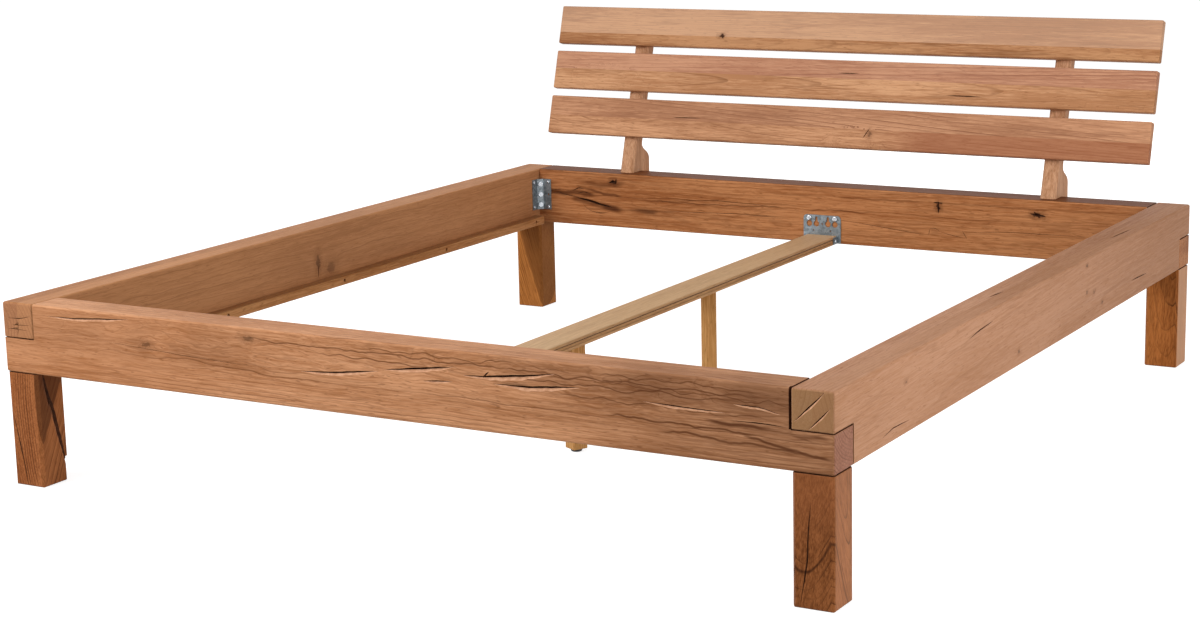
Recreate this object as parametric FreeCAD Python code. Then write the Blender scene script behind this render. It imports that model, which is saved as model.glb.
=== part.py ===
import FreeCAD, Part
import math
import os

from FreeCAD import Placement, Rotation, Vector

# Wooden beam bed, in millimetres. X runs across the bed, Y from foot to head, Z up from the floor.
# Everything is built about the middle of the well, then moved so that the origin is the middle of
# the footprint.

# Well for the mattress, and the four beams round it, half lapped at the corners
WELL_WIDTH = 1800.0
WELL_LENGTH = 2020.0
BEAM_THICKNESS = 85.0
BEAM_HEIGHT = 155.0
LAP_HEIGHT = 77.5
BEAM_ROUND = 5.0
SEAM_GROOVE = 2.5

# Square legs under the corners, each on one long stud
LEG_HEIGHT = 255.0
LEG_SECTION = 84.0
LEG_ROUND = 4.0
STUD_DIAMETER = 10.0
STUD_IN_LEG = 60.0
STUD_IN_UPPER_LAP = 40.0
DOWEL_DIAMETER = 12.0
DOWEL_LENGTH = 80.0
DOWEL_OFFSET = 22.0

# Galvanised angle brackets in the inner corners
BRACKET_HEIGHT = 88.0
BRACKET_FLANGE = 40.0
BRACKET_WEB = 14.0
BRACKET_SHEET = 2.5
BRACKET_CENTRE_DROP = 72.0
BRACKET_SCREW_EDGE = 8.0
BRACKET_HOLE_DIAMETER = 6.0
CORNER_BOLT_DIAMETER = 8.0
CORNER_BOLT_LENGTH = 60.0
CORNER_BOLT_PITCH = 30.0
CORNER_BOLT_HEAD = 13.0
CORNER_BOLT_HEAD_HEIGHT = 5.3
SHEET_SCREW_DIAMETER = 4.5
SHEET_SCREW_LENGTH = 28.0
SHEET_SCREW_HEAD = 8.0
SHEET_SCREW_HEAD_HEIGHT = 3.0

# Ledger strips that carry the slatted base, level with the top of the centre rail. The rise is
# from the underside of the beams to that level.
SUPPORT_RISE = 23.0
LEDGER_HEIGHT = 23.0
LEDGER_THICKNESS = 30.0
LEDGER_END_GAP = 25.0
LEDGER_ROUND = 2.0
LEDGER_SCREW_COUNT = 5
LEDGER_SCREW_PITCH = 470.0
LEDGER_SCREW_DIAMETER = 5.0
LEDGER_SCREW_LENGTH = 60.0
LEDGER_SCREW_HEAD = 9.0
LEDGER_SCREW_HEAD_HEIGHT = 4.0
LEDGER_SCREW_RECESS = 8.0

# Centre rail, hung at both ends on keyhole plates
RAIL_WIDTH = 86.0
RAIL_HEIGHT = 23.0
RAIL_ROUND = 2.0
RAIL_GROOVE = 1.5
PLATE_WIDTH = 110.0
PLATE_ABOVE_RAIL = 54.0
PLATE_ABOVE_UNDERSIDE = 2.0
PLATE_SHEET = 2.5
PLATE_CORNER = 10.0
CHEEK_DEPTH = 24.0
CHEEK_SCREW_SETBACK = 13.0
KEYHOLE_OUTER = 38.0
KEYHOLE_INNER = 17.0
KEYHOLE_DIAMETER = 16.5
KEYHOLE_ABOVE_RAIL = 30.0
KEYHOLE_DROP = 16.0
PLATE_HOLE_DIAMETER = 4.5
PLATE_HOLE_OFFSET = 25.0
PLATE_HOLE_ABOVE_RAIL = 11.5
HOOK_SCREW_DIAMETER = 7.0
HOOK_SCREW_LENGTH = 60.0
HOOK_SCREW_HEAD = 15.0
HOOK_SCREW_HEAD_HEIGHT = 5.0

# Centre feet: square posts screwed up into the rail, each left turned where its height came right
FOOT_SECTION = 37.0
FOOT_ROUND = 2.0
FOOT_SPACING = 660.0
FRONT_FOOT_TURN = -27.0
REAR_FOOT_TURN = 30.0
FOOT_BOLT_DIAMETER = 8.0
FOOT_BOLT_IN_FOOT = 40.0
FOOT_BOLT_IN_RAIL = 15.0
INSERT_DIAMETER = 12.0
INSERT_LENGTH = 16.0
GLIDE_DIAMETER = 26.0
GLIDE_HEIGHT = 7.0
GLIDE_ROUND = 3.0
GLIDE_PIN_DIAMETER = 3.0
GLIDE_PIN_LENGTH = 15.0

# Headboard: slats on two leaning posts, which are notched over the head beam
SLAT_COUNT = 3
SLAT_LENGTH = 1775.0
SLAT_HEIGHT = 109.0
SLAT_THICKNESS = 24.0
SLAT_GAP = 22.0
SLAT_ROUND = 4.0
HEADBOARD_LEAN = 16.5
HEADBOARD_CLEAR = 104.0
HEADBOARD_SETBACK = 34.0
POST_SPACING = 1252.0
POST_WIDTH = 42.0
POST_DEPTH = 35.0
POST_CHAMFER = 6.0
POST_TOP_DROP = 20.0
POST_TAIL_DEPTH = 43.0
POST_TAIL_LENGTH = 120.0
POST_TAIL_CHAMFER = 15.0
OGEE_FOOT = 30.0
OGEE_TOP = 82.0
OGEE_PULL = 26.0
SLAT_SCREW_DIAMETER = 5.0
SLAT_SCREW_IN_SLAT = 16.0
SLAT_SCREW_HEAD = 9.0
SLAT_SCREW_HEAD_HEIGHT = 4.0
SLAT_SCREW_RECESS = 7.0
SLAT_SCREW_SPREAD = 56.0
POST_BOLT_DIAMETER = 8.0
POST_BOLT_IN_BEAM = 55.0
POST_BOLT_DROPS = (42.0, 88.0)
POST_BOLT_HEAD = 13.0
POST_BOLT_HEAD_HEIGHT = 5.3
WASHER_DIAMETER = 24.0
WASHER_THICKNESS = 2.0
POST_DOWEL_DIAMETER = 10.0
POST_DOWEL_LENGTH = 44.0

# How much of a round screw head's height is dome
DOME_SHARE = 0.7

# Fits
BORE_FIT = 0.05
RUNNING_FIT = 0.1
SLIDE_GAP = 0.3
TIP_GAP = 0.5

# Levels and faces that follow from the sizes above
BEAM_TOP = LEG_HEIGHT + BEAM_HEIGHT
LAP_LEVEL = LEG_HEIGHT + LAP_HEIGHT
SUPPORT_LEVEL = LEG_HEIGHT + SUPPORT_RISE
PLATE_TOP = SUPPORT_LEVEL + PLATE_ABOVE_RAIL
PLATE_BOTTOM = LEG_HEIGHT + PLATE_ABOVE_UNDERSIDE
KEYHOLE_LEVEL = SUPPORT_LEVEL + KEYHOLE_ABOVE_RAIL
INNER_X = WELL_WIDTH / 2
INNER_Y = WELL_LENGTH / 2
OUTER_X = INNER_X + BEAM_THICKNESS
OUTER_Y = INNER_Y + BEAM_THICKNESS
SIDES = {"left": -1, "right": 1}
ENDS = {"front": -1, "rear": 1}
UP = Vector(0, 0, 1)

# The slats' front lower edge, and the directions up along the headboard and out of its back
LEAN = math.radians(HEADBOARD_LEAN)
BOARD_FOOT = Vector(0, INNER_Y + HEADBOARD_SETBACK, BEAM_TOP + HEADBOARD_CLEAR)
BOARD_UP = Vector(0, math.sin(LEAN), math.cos(LEAN))
BOARD_BACK = Vector(0, math.cos(LEAN), -math.sin(LEAN))
BOARD_HEIGHT = SLAT_COUNT * SLAT_HEIGHT + (SLAT_COUNT - 1) * SLAT_GAP

pieces = {}


def block(low, high):
    size = Vector(*high) - Vector(*low)
    return Part.makeBox(size.x, size.y, size.z, Vector(*low))


def rounded_block(low, high, radius):
    solid = block(low, high)
    return solid.makeFillet(radius, solid.Edges)


def rod(start, direction, length, diameter):
    return Part.makeCylinder(diameter / 2, length, start, direction)


def bore(start, direction, length, diameter, fit=BORE_FIT):
    return rod(start, direction, length + TIP_GAP, diameter + 2 * fit)


def hexagon_head(width, height):
    corners = []
    for step in range(7):
        turn = math.radians(60 * step)
        corners.append(Vector(math.cos(turn), math.sin(turn), 0) * (width / math.sqrt(3)))
    return Part.Face(Part.makePolygon(corners)).extrude(Vector(0, 0, height))


def domed_head(width, height):
    disc = Part.makeCylinder(width / 2, height)
    rim = [edge for edge in disc.Edges if abs(edge.CenterOfMass.z - height) < 1e-6]
    return disc.makeFillet(DOME_SHARE * height, rim)


def fastener(seat, outward, length, diameter, head):
    """A screw or bolt whose head sits on seat and whose shank runs in against outward."""
    shank = Part.makeCylinder(diameter / 2, length, Vector(0, 0, -length))
    solid = shank.fuse(head).removeSplitter()
    solid.Placement = Placement(seat, Rotation(UP, outward))
    return solid


def cut_all(solid, tools):
    return solid.cut(Part.makeCompound(tools)) if tools else solid


def group(solids):
    return Part.makeCompound(solids)


# Tools that drill and cut the timber, filled in by the pieces that need the room
cuts = {name: [] for name in ("foot_beam", "head_beam", "left_side_beam", "right_side_beam",
                              "left_ledger", "right_ledger", "centre_rail",
                              "left_headboard_post", "right_headboard_post")}
slat_cuts = []
END_BEAMS = {-1: "foot_beam", 1: "head_beam"}
SIDE_BEAMS = {-1: "left_side_beam", 1: "right_side_beam"}


def drill(names, tool):
    for name in names:
        cuts[name].append(tool)


# Legs, studs, lap dowels and the eased seam at each corner
studs = []
lap_dowels = []
stud_length = STUD_IN_LEG + LAP_HEIGHT + STUD_IN_UPPER_LAP
for end, sy in ENDS.items():
    for side, sx in SIDES.items():
        both = (END_BEAMS[sy], SIDE_BEAMS[sx])
        middle = Vector(sx * (INNER_X + BEAM_THICKNESS / 2), sy * (INNER_Y + BEAM_THICKNESS / 2), 0)
        half = LEG_SECTION / 2
        leg = rounded_block((middle.x - half, middle.y - half, 0),
                            (middle.x + half, middle.y + half, LEG_HEIGHT), LEG_ROUND)
        stud_foot = middle + UP * (LEG_HEIGHT - STUD_IN_LEG)
        studs.append(rod(stud_foot, UP, stud_length, STUD_DIAMETER))
        stud_bore = bore(stud_foot, UP, stud_length, STUD_DIAMETER)
        pieces[end + "_" + side + "_leg"] = leg.cut(stud_bore)
        drill(both, stud_bore)
        for step in (-1, 1):
            spot = middle + Vector(step * sx, -step * sy, 0) * DOWEL_OFFSET
            foot = spot + UP * (LAP_LEVEL - DOWEL_LENGTH / 2)
            lap_dowels.append(rod(foot, UP, DOWEL_LENGTH, DOWEL_DIAMETER))
            drill(both, bore(foot, UP, DOWEL_LENGTH, DOWEL_DIAMETER))
        bar = SEAM_GROOVE * math.sqrt(2)
        along_x = block((-BEAM_THICKNESS, -bar / 2, -bar / 2), (BEAM_THICKNESS, bar / 2, bar / 2))
        along_y = block((-bar / 2, -BEAM_THICKNESS, -bar / 2), (bar / 2, BEAM_THICKNESS, bar / 2))
        seam_corner = Vector(sx * OUTER_X, sy * OUTER_Y, LAP_LEVEL)
        along_x.Placement = Placement(seam_corner, Rotation(Vector(1, 0, 0), 45))
        along_y.Placement = Placement(seam_corner, Rotation(Vector(0, 1, 0), 45))
        drill(both, along_x)
        drill(both, along_y)
pieces["leg_studs"] = group(studs)
pieces["lap_dowels"] = group(lap_dowels)


# Corner brackets: a flange on each beam and a slanting web between them for three bolts
bracket_low = BEAM_TOP - BRACKET_CENTRE_DROP - BRACKET_HEIGHT / 2
bracket_middle = bracket_low + BRACKET_HEIGHT / 2
bend = BRACKET_WEB + BRACKET_SHEET * math.tan(math.radians(22.5))
bracket_screws = []
for end, sy in ENDS.items():
    corner_bolts = []
    for side, sx in SIDES.items():
        beams = (END_BEAMS[sy], SIDE_BEAMS[sx])

        def at(across, along, level):
            return Vector(sx * (INNER_X - across), sy * (INNER_Y - along), level)

        plan = ((0, BRACKET_FLANGE), (0, BRACKET_WEB), (BRACKET_WEB, 0), (BRACKET_FLANGE, 0),
                (BRACKET_FLANGE, BRACKET_SHEET), (bend, BRACKET_SHEET),
                (BRACKET_SHEET, bend), (BRACKET_SHEET, BRACKET_FLANGE))
        outline = [at(across, along, bracket_low) for across, along in plan]
        bracket = Part.Face(Part.makePolygon(outline + outline[:1])).extrude(UP * BRACKET_HEIGHT)
        into_well = Vector(-sx, -sy, 0).normalize()
        web_reach = BRACKET_WEB / math.sqrt(2) + BRACKET_SHEET
        for step in (-1, 0, 1):
            level = bracket_middle + step * CORNER_BOLT_PITCH
            seat = at(0, 0, level) + into_well * web_reach
            head = hexagon_head(CORNER_BOLT_HEAD, CORNER_BOLT_HEAD_HEIGHT)
            corner_bolts.append(fastener(seat, into_well, CORNER_BOLT_LENGTH, CORNER_BOLT_DIAMETER, head))
            hole = bore(seat, -into_well, CORNER_BOLT_LENGTH, CORNER_BOLT_DIAMETER)
            bracket = bracket.cut(hole)
            drill(beams, hole)
        screw_drop = BRACKET_HEIGHT / 2 - BRACKET_SCREW_EDGE
        screw_spot = BRACKET_FLANGE - BRACKET_SCREW_EDGE
        for step in (-1, 1):
            level = bracket_middle + step * screw_drop
            for seat, outward in ((at(BRACKET_SHEET, screw_spot, level), Vector(-sx, 0, 0)),
                                  (at(screw_spot, BRACKET_SHEET, level), Vector(0, -sy, 0))):
                head = domed_head(SHEET_SCREW_HEAD, SHEET_SCREW_HEAD_HEIGHT)
                bracket_screws.append(fastener(seat, outward, SHEET_SCREW_LENGTH, SHEET_SCREW_DIAMETER, head))
                hole = bore(seat, -outward, SHEET_SCREW_LENGTH, SHEET_SCREW_DIAMETER)
                bracket = bracket.cut(hole)
                drill(beams, hole)
        spare_spot = at(screw_spot, 0, bracket_middle)
        spare_hole = rod(spare_spot, Vector(0, -sy, 0), BRACKET_SHEET, BRACKET_HOLE_DIAMETER)
        pieces[end + "_" + side + "_bracket"] = bracket.cut(spare_hole)
    pieces[end + "_corner_bolts"] = group(corner_bolts)
pieces["bracket_screws"] = group(bracket_screws)


# Ledger strips on the side beams, with screws sunk deep in plain holes
ledger_half = INNER_Y - LEDGER_END_GAP
for side, sx in SIDES.items():
    near = sx * INNER_X
    far = sx * (INNER_X - LEDGER_THICKNESS)
    strip = rounded_block((min(near, far), -ledger_half, SUPPORT_LEVEL - LEDGER_HEIGHT),
                          (max(near, far), ledger_half, SUPPORT_LEVEL), LEDGER_ROUND)
    screws = []
    for step in range(LEDGER_SCREW_COUNT):
        y = (step - (LEDGER_SCREW_COUNT - 1) / 2) * LEDGER_SCREW_PITCH
        outward = Vector(-sx, 0, 0)
        mouth = Vector(far, y, SUPPORT_LEVEL - LEDGER_HEIGHT / 2)
        seat = mouth - outward * LEDGER_SCREW_RECESS
        head = domed_head(LEDGER_SCREW_HEAD, LEDGER_SCREW_HEAD_HEIGHT)
        screws.append(fastener(seat, outward, LEDGER_SCREW_LENGTH, LEDGER_SCREW_DIAMETER, head))
        hole = bore(seat, -outward, LEDGER_SCREW_LENGTH, LEDGER_SCREW_DIAMETER)
        recess = rod(seat, outward, LEDGER_SCREW_RECESS, LEDGER_SCREW_HEAD + 2 * RUNNING_FIT)
        drill((side + "_ledger",), recess)
        drill((side + "_ledger", SIDE_BEAMS[sx]), hole)
    pieces[side + "_ledger"] = cut_all(strip, cuts[side + "_ledger"])
    pieces[side + "_ledger_screws"] = group(screws)


# Keyhole plates on the rail's ends, the screws that they hang on, and the screws in their cheeks
rail_low = SUPPORT_LEVEL - RAIL_HEIGHT
rail_half = INNER_Y - SLIDE_GAP - PLATE_SHEET
cheek_low = max(PLATE_BOTTOM, rail_low + RAIL_ROUND)
cheek_high = SUPPORT_LEVEL - RAIL_ROUND
hook_level = KEYHOLE_LEVEL + KEYHOLE_DROP
for end, sy in ENDS.items():
    back = sy * (INNER_Y - SLIDE_GAP)
    front = sy * rail_half
    inward = Vector(0, -sy, 0)
    plate = block((-PLATE_WIDTH / 2, min(back, front), PLATE_BOTTOM),
                  (PLATE_WIDTH / 2, max(back, front), PLATE_TOP))
    corners = []
    for edge in plate.Edges:
        spot = edge.CenterOfMass
        if abs(spot.z - PLATE_TOP) < 1e-6 and abs(spot.x) > PLATE_WIDTH / 2 - 1e-6:
            corners.append(edge)
    plate = plate.makeFillet(PLATE_CORNER, corners)
    through = 2 * PLATE_SHEET
    start_y = back - inward.y * PLATE_SHEET / 2
    holes = []
    slot = HOOK_SCREW_DIAMETER / 2 + RUNNING_FIT
    for x in (-KEYHOLE_OUTER, -KEYHOLE_INNER, KEYHOLE_INNER, KEYHOLE_OUTER):
        holes.append(rod(Vector(x, start_y, KEYHOLE_LEVEL), inward, through, KEYHOLE_DIAMETER))
        holes.append(rod(Vector(x, start_y, hook_level), inward, through, 2 * slot))
        ends = sorted((start_y, start_y + inward.y * through))
        holes.append(block((x - slot, ends[0], KEYHOLE_LEVEL), (x + slot, ends[1], hook_level)))
    spare_level = SUPPORT_LEVEL + PLATE_HOLE_ABOVE_RAIL
    spare_holes = ((0, KEYHOLE_LEVEL), (-PLATE_HOLE_OFFSET, spare_level), (PLATE_HOLE_OFFSET, spare_level))
    for x, level in spare_holes:
        holes.append(rod(Vector(x, start_y, level), inward, through, PLATE_HOLE_DIAMETER))
    plate = cut_all(plate, holes)
    cheek_screws = []
    for sx in SIDES.values():
        inner = sx * RAIL_WIDTH / 2
        outer = inner + sx * PLATE_SHEET
        tip = front - sy * CHEEK_DEPTH
        plate = plate.fuse(block((min(inner, outer), min(front, tip), cheek_low),
                                 (max(inner, outer), max(front, tip), cheek_high)))
        outward = Vector(sx, 0, 0)
        seat = Vector(outer, front - sy * CHEEK_SCREW_SETBACK, (cheek_low + cheek_high) / 2)
        head = domed_head(SHEET_SCREW_HEAD, SHEET_SCREW_HEAD_HEIGHT)
        cheek_screws.append(fastener(seat, outward, SHEET_SCREW_LENGTH, SHEET_SCREW_DIAMETER, head))
        hole = bore(seat, -outward, SHEET_SCREW_LENGTH, SHEET_SCREW_DIAMETER)
        plate = plate.cut(hole)
        drill(("centre_rail",), hole)
    pieces[end + "_rail_plate"] = plate.removeSplitter()
    pieces[end + "_rail_plate_screws"] = group(cheek_screws)
    hook_screws = []
    for sx in SIDES.values():
        seat = Vector(sx * KEYHOLE_OUTER, front - sy * SLIDE_GAP, hook_level)
        head = domed_head(HOOK_SCREW_HEAD, HOOK_SCREW_HEAD_HEIGHT)
        hook_screws.append(fastener(seat, inward, HOOK_SCREW_LENGTH, HOOK_SCREW_DIAMETER, head))
        drill((END_BEAMS[sy],), bore(seat, -inward, HOOK_SCREW_LENGTH, HOOK_SCREW_DIAMETER))
    pieces[end + "_hook_screws"] = group(hook_screws)


# Centre feet with their bolts, the threaded inserts in the rail, and the glides under them
foot_top = rail_low - SLIDE_GAP
for end, sy in ENDS.items():
    axis = Vector(0, sy * FOOT_SPACING / 2, 0)
    half = FOOT_SECTION / 2
    foot = rounded_block((-half, -half, GLIDE_HEIGHT), (half, half, foot_top), FOOT_ROUND)
    foot.Placement = Placement(axis, Rotation(UP, FRONT_FOOT_TURN if sy < 0 else REAR_FOOT_TURN))
    bolt_foot = axis + UP * (foot_top - FOOT_BOLT_IN_FOOT)
    bolt_length = FOOT_BOLT_IN_FOOT + SLIDE_GAP + FOOT_BOLT_IN_RAIL
    pin_top = axis + UP * (GLIDE_HEIGHT + GLIDE_PIN_LENGTH)
    foot = foot.cut(bore(bolt_foot - UP * TIP_GAP, UP, bolt_length, FOOT_BOLT_DIAMETER, RUNNING_FIT))
    pin_hole = bore(pin_top + UP * TIP_GAP, -UP, GLIDE_PIN_LENGTH, GLIDE_PIN_DIAMETER)
    pieces[end + "_centre_foot"] = foot.cut(pin_hole)
    pieces[end + "_foot_bolt"] = rod(bolt_foot, UP, bolt_length, FOOT_BOLT_DIAMETER)
    insert_foot = axis + UP * rail_low
    sleeve = rod(insert_foot, UP, INSERT_LENGTH, INSERT_DIAMETER)
    thread = bore(insert_foot, UP, INSERT_LENGTH, FOOT_BOLT_DIAMETER, RUNNING_FIT)
    pieces[end + "_foot_insert"] = sleeve.cut(thread)
    drill(("centre_rail",), bore(insert_foot, UP, INSERT_LENGTH, INSERT_DIAMETER))
    disc = rod(axis, UP, GLIDE_HEIGHT, GLIDE_DIAMETER)
    rim = [edge for edge in disc.Edges if abs(edge.CenterOfMass.z) < 1e-6]
    pin_length = GLIDE_HEIGHT / 2 + GLIDE_PIN_LENGTH
    pin = rod(axis + UP * (GLIDE_HEIGHT / 2), UP, pin_length, GLIDE_PIN_DIAMETER)
    pieces[end + "_foot_glide"] = disc.makeFillet(GLIDE_ROUND, rim).fuse(pin).removeSplitter()


# Headboard posts, seen from the side: foot on the beam, tail down its back, ogee into a leaning arm
arm_front = BOARD_FOOT + BOARD_BACK * SLAT_THICKNESS
arm_back = arm_front + BOARD_BACK * POST_DEPTH
arm_top = BOARD_HEIGHT - POST_TOP_DROP
tail_back = OUTER_Y + POST_TAIL_DEPTH
tail_low = BEAM_TOP - POST_TAIL_LENGTH


def on_lean(point, level):
    return point + BOARD_UP * ((level - point.z) / BOARD_UP.z)


post_foot = on_lean(arm_front, BEAM_TOP)
ogee_top = on_lean(arm_back, BEAM_TOP + OGEE_TOP)
ogee_foot = Vector(0, tail_back, BEAM_TOP + OGEE_FOOT)
ogee = Part.BezierCurve()
ogee.setPoles([ogee_top, ogee_top - BOARD_UP * OGEE_PULL, ogee_foot + UP * OGEE_PULL, ogee_foot])
straight = Part.makePolygon([ogee_foot, Vector(0, tail_back, tail_low + POST_TAIL_CHAMFER),
                             Vector(0, tail_back - POST_TAIL_CHAMFER, tail_low), Vector(0, OUTER_Y, tail_low),
                             Vector(0, OUTER_Y, BEAM_TOP), post_foot, arm_front + BOARD_UP * arm_top,
                             arm_back + BOARD_UP * arm_top, ogee_top])
profile = Part.Face(Part.Wire(straight.Edges + [ogee.toShape()]))
post_bolts = []
washers = []
post_dowels = []
slat_screws = []
for side, sx in SIDES.items():
    name = side + "_headboard_post"
    post_x = sx * POST_SPACING / 2
    post = profile.extrude(Vector(POST_WIDTH, 0, 0))
    post.translate(Vector(post_x - POST_WIDTH / 2, 0, 0))
    front_edges = []
    for edge in post.Edges:
        offset = (edge.CenterOfMass - arm_front).dot(BOARD_BACK)
        if abs(offset) < 1e-6 and edge.Length > POST_WIDTH + 1e-6:
            front_edges.append(edge)
    post = post.makeChamfer(POST_CHAMFER, front_edges)
    dowel_y = (post_foot.y + OUTER_Y) / 2
    dowel_foot = Vector(post_x, dowel_y, BEAM_TOP - POST_DOWEL_LENGTH / 2)
    post_dowels.append(rod(dowel_foot, UP, POST_DOWEL_LENGTH, POST_DOWEL_DIAMETER))
    dowel_bore = bore(dowel_foot, UP, POST_DOWEL_LENGTH, POST_DOWEL_DIAMETER)
    drill((name, "head_beam"), dowel_bore)
    backward = Vector(0, 1, 0)
    for drop in POST_BOLT_DROPS:
        face = Vector(post_x, tail_back, BEAM_TOP - drop)
        washer = rod(face, backward, WASHER_THICKNESS, WASHER_DIAMETER)
        seat = face + backward * WASHER_THICKNESS
        length = POST_BOLT_IN_BEAM + POST_TAIL_DEPTH + WASHER_THICKNESS
        hole = bore(seat, -backward, length, POST_BOLT_DIAMETER)
        head = hexagon_head(POST_BOLT_HEAD, POST_BOLT_HEAD_HEIGHT)
        post_bolts.append(fastener(seat, backward, length, POST_BOLT_DIAMETER, head))
        washers.append(washer.cut(hole))
        drill((name, "head_beam"), hole)
    for number in range(SLAT_COUNT):
        slat_middle = number * (SLAT_HEIGHT + SLAT_GAP) + SLAT_HEIGHT / 2
        for step in (-1, 1):
            height = slat_middle + step * SLAT_SCREW_SPREAD / 2
            mouth = Vector(post_x, arm_back.y, arm_back.z) + BOARD_UP * height
            seat = mouth - BOARD_BACK * SLAT_SCREW_RECESS
            length = POST_DEPTH - SLAT_SCREW_RECESS + SLAT_SCREW_IN_SLAT
            head = domed_head(SLAT_SCREW_HEAD, SLAT_SCREW_HEAD_HEIGHT)
            slat_screws.append(fastener(seat, BOARD_BACK, length, SLAT_SCREW_DIAMETER, head))
            hole = bore(seat, -BOARD_BACK, length, SLAT_SCREW_DIAMETER)
            recess = rod(seat, BOARD_BACK, SLAT_SCREW_RECESS, SLAT_SCREW_HEAD + 2 * RUNNING_FIT)
            drill((name,), recess)
            drill((name,), hole)
            slat_cuts.append(hole)
    pieces[name] = cut_all(post, cuts[name])
pieces["post_bolts"] = group(post_bolts)
pieces["post_washers"] = group(washers)
pieces["post_dowels"] = group(post_dowels)
pieces["slat_screws"] = group(slat_screws)


# Headboard slats, from the lowest up
for number, name in enumerate(("bottom_slat", "middle_slat", "top_slat")):
    low = BOARD_FOOT.z + number * (SLAT_HEIGHT + SLAT_GAP)
    slat = rounded_block((-SLAT_LENGTH / 2, BOARD_FOOT.y, low),
                         (SLAT_LENGTH / 2, BOARD_FOOT.y + SLAT_THICKNESS, low + SLAT_HEIGHT), SLAT_ROUND)
    slat.rotate(BOARD_FOOT, Vector(1, 0, 0), -HEADBOARD_LEAN)
    pieces[name] = cut_all(slat, slat_cuts)


# Centre rail, with a groove along each edge
rail = rounded_block((-RAIL_WIDTH / 2, -rail_half, rail_low),
                     (RAIL_WIDTH / 2, rail_half, SUPPORT_LEVEL), RAIL_ROUND)
for sx in SIDES.values():
    bar = RAIL_GROOVE * math.sqrt(2)
    groove = block((-bar / 2, -rail_half, -bar / 2), (bar / 2, rail_half, bar / 2))
    edge_middle = Vector(sx * RAIL_WIDTH / 2, 0, rail_low + RAIL_HEIGHT / 2)
    groove.Placement = Placement(edge_middle, Rotation(Vector(0, 1, 0), 45))
    drill(("centre_rail",), groove)
pieces["centre_rail"] = cut_all(rail, cuts["centre_rail"])


# Beams: the end beams keep the lower half at each corner, the side beams the upper half
for sy, name in END_BEAMS.items():
    inner, outer = sy * INNER_Y, sy * OUTER_Y
    beam = rounded_block((-OUTER_X, min(inner, outer), LEG_HEIGHT),
                         (OUTER_X, max(inner, outer), BEAM_TOP), BEAM_ROUND)
    for sx in SIDES.values():
        reach = sorted((sx * INNER_X, sx * OUTER_X))
        cuts[name].append(block((reach[0], min(inner, outer), LAP_LEVEL),
                                (reach[1], max(inner, outer), BEAM_TOP)))
    pieces[name] = cut_all(beam, cuts[name])
for sx, name in SIDE_BEAMS.items():
    inner, outer = sx * INNER_X, sx * OUTER_X
    beam = rounded_block((min(inner, outer), -OUTER_Y, LEG_HEIGHT),
                         (max(inner, outer), OUTER_Y, BEAM_TOP), BEAM_ROUND)
    for sy in ENDS.values():
        reach = sorted((sy * INNER_Y, sy * OUTER_Y))
        cuts[name].append(block((min(inner, outer), reach[0], LEG_HEIGHT),
                                (max(inner, outer), reach[1], LAP_LEVEL)))
    pieces[name] = cut_all(beam, cuts[name])


# Origin in the middle of the footprint: the feet of the front legs to the back of the headboard
front_reach = -OUTER_Y - max(0, (LEG_SECTION - BEAM_THICKNESS) / 2)
board_reach = (arm_back + BOARD_UP * arm_top).y
back_reach = max(board_reach, tail_back + WASHER_THICKNESS + POST_BOLT_HEAD_HEIGHT)
to_origin = Vector(0, -(front_reach + back_reach) / 2, 0)
print("origin shift", round(to_origin.y, 3), "overall length", round(back_reach - front_reach, 3))

os.makedirs("parts", exist_ok=True)
for name, shape in pieces.items():
    shape.translate(to_origin)
    for solid in shape.Solids:
        if not solid.isValid():
            print("not valid:", name)
    print(name, len(shape.Solids), round(shape.Volume / 1000, 2), "cm3")
    shape.exportStep("parts/" + name + ".step")
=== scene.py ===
import math
import random

import bmesh
import bpy
from mathutils import Matrix, Vector


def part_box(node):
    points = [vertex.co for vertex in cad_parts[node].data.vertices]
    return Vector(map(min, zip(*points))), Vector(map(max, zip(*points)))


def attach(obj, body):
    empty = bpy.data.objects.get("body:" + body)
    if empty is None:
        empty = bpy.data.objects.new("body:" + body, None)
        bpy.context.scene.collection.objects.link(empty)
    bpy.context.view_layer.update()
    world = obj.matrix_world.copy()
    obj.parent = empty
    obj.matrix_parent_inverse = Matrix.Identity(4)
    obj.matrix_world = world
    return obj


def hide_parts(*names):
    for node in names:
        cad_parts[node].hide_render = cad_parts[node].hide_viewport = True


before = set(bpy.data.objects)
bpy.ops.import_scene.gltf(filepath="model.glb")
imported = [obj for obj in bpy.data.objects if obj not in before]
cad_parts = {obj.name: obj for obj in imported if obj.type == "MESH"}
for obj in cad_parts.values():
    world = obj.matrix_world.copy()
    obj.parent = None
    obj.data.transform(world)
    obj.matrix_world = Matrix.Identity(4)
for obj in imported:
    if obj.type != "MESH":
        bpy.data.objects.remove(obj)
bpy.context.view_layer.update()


# Foot beam: a squared length of oiled heart beech, half lapped at both ends under the side beams.
# The heart of the tree runs close behind its face, so the rings wave along the upper half, and
# drying has opened the face in long checks whose lower lips are worn round. The worn lips carry a
# painted highlight, and the depths are in painted shade.
FOOT_LOW, FOOT_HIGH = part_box("foot_beam")
FOOT_MIDDLE = (FOOT_LOW + FOOT_HIGH) / 2
BEAM_HALF_THICK = (FOOT_HIGH.y - FOOT_LOW.y) / 2
BEAM_HALF_HIGH = (FOOT_HIGH.z - FOOT_LOW.z) / 2


def tint(red, green, blue):
    """A display colour, 0 to 255 each, as the linear colour that shaders use."""
    linear = []
    for level in (red, green, blue):
        share = level / 255
        linear.append(share / 12.92 if share <= 0.04045 else ((share + 0.055) / 1.055) ** 2.4)
    return (*linear, 1.0)


def feed(tree, node, feeds):
    """Feed a node's inputs, each from a socket or with a plain value."""
    for name, value in feeds.items():
        if isinstance(value, bpy.types.NodeSocket):
            tree.links.new(value, node.inputs[name])
        else:
            node.inputs[name].default_value = value


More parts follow.
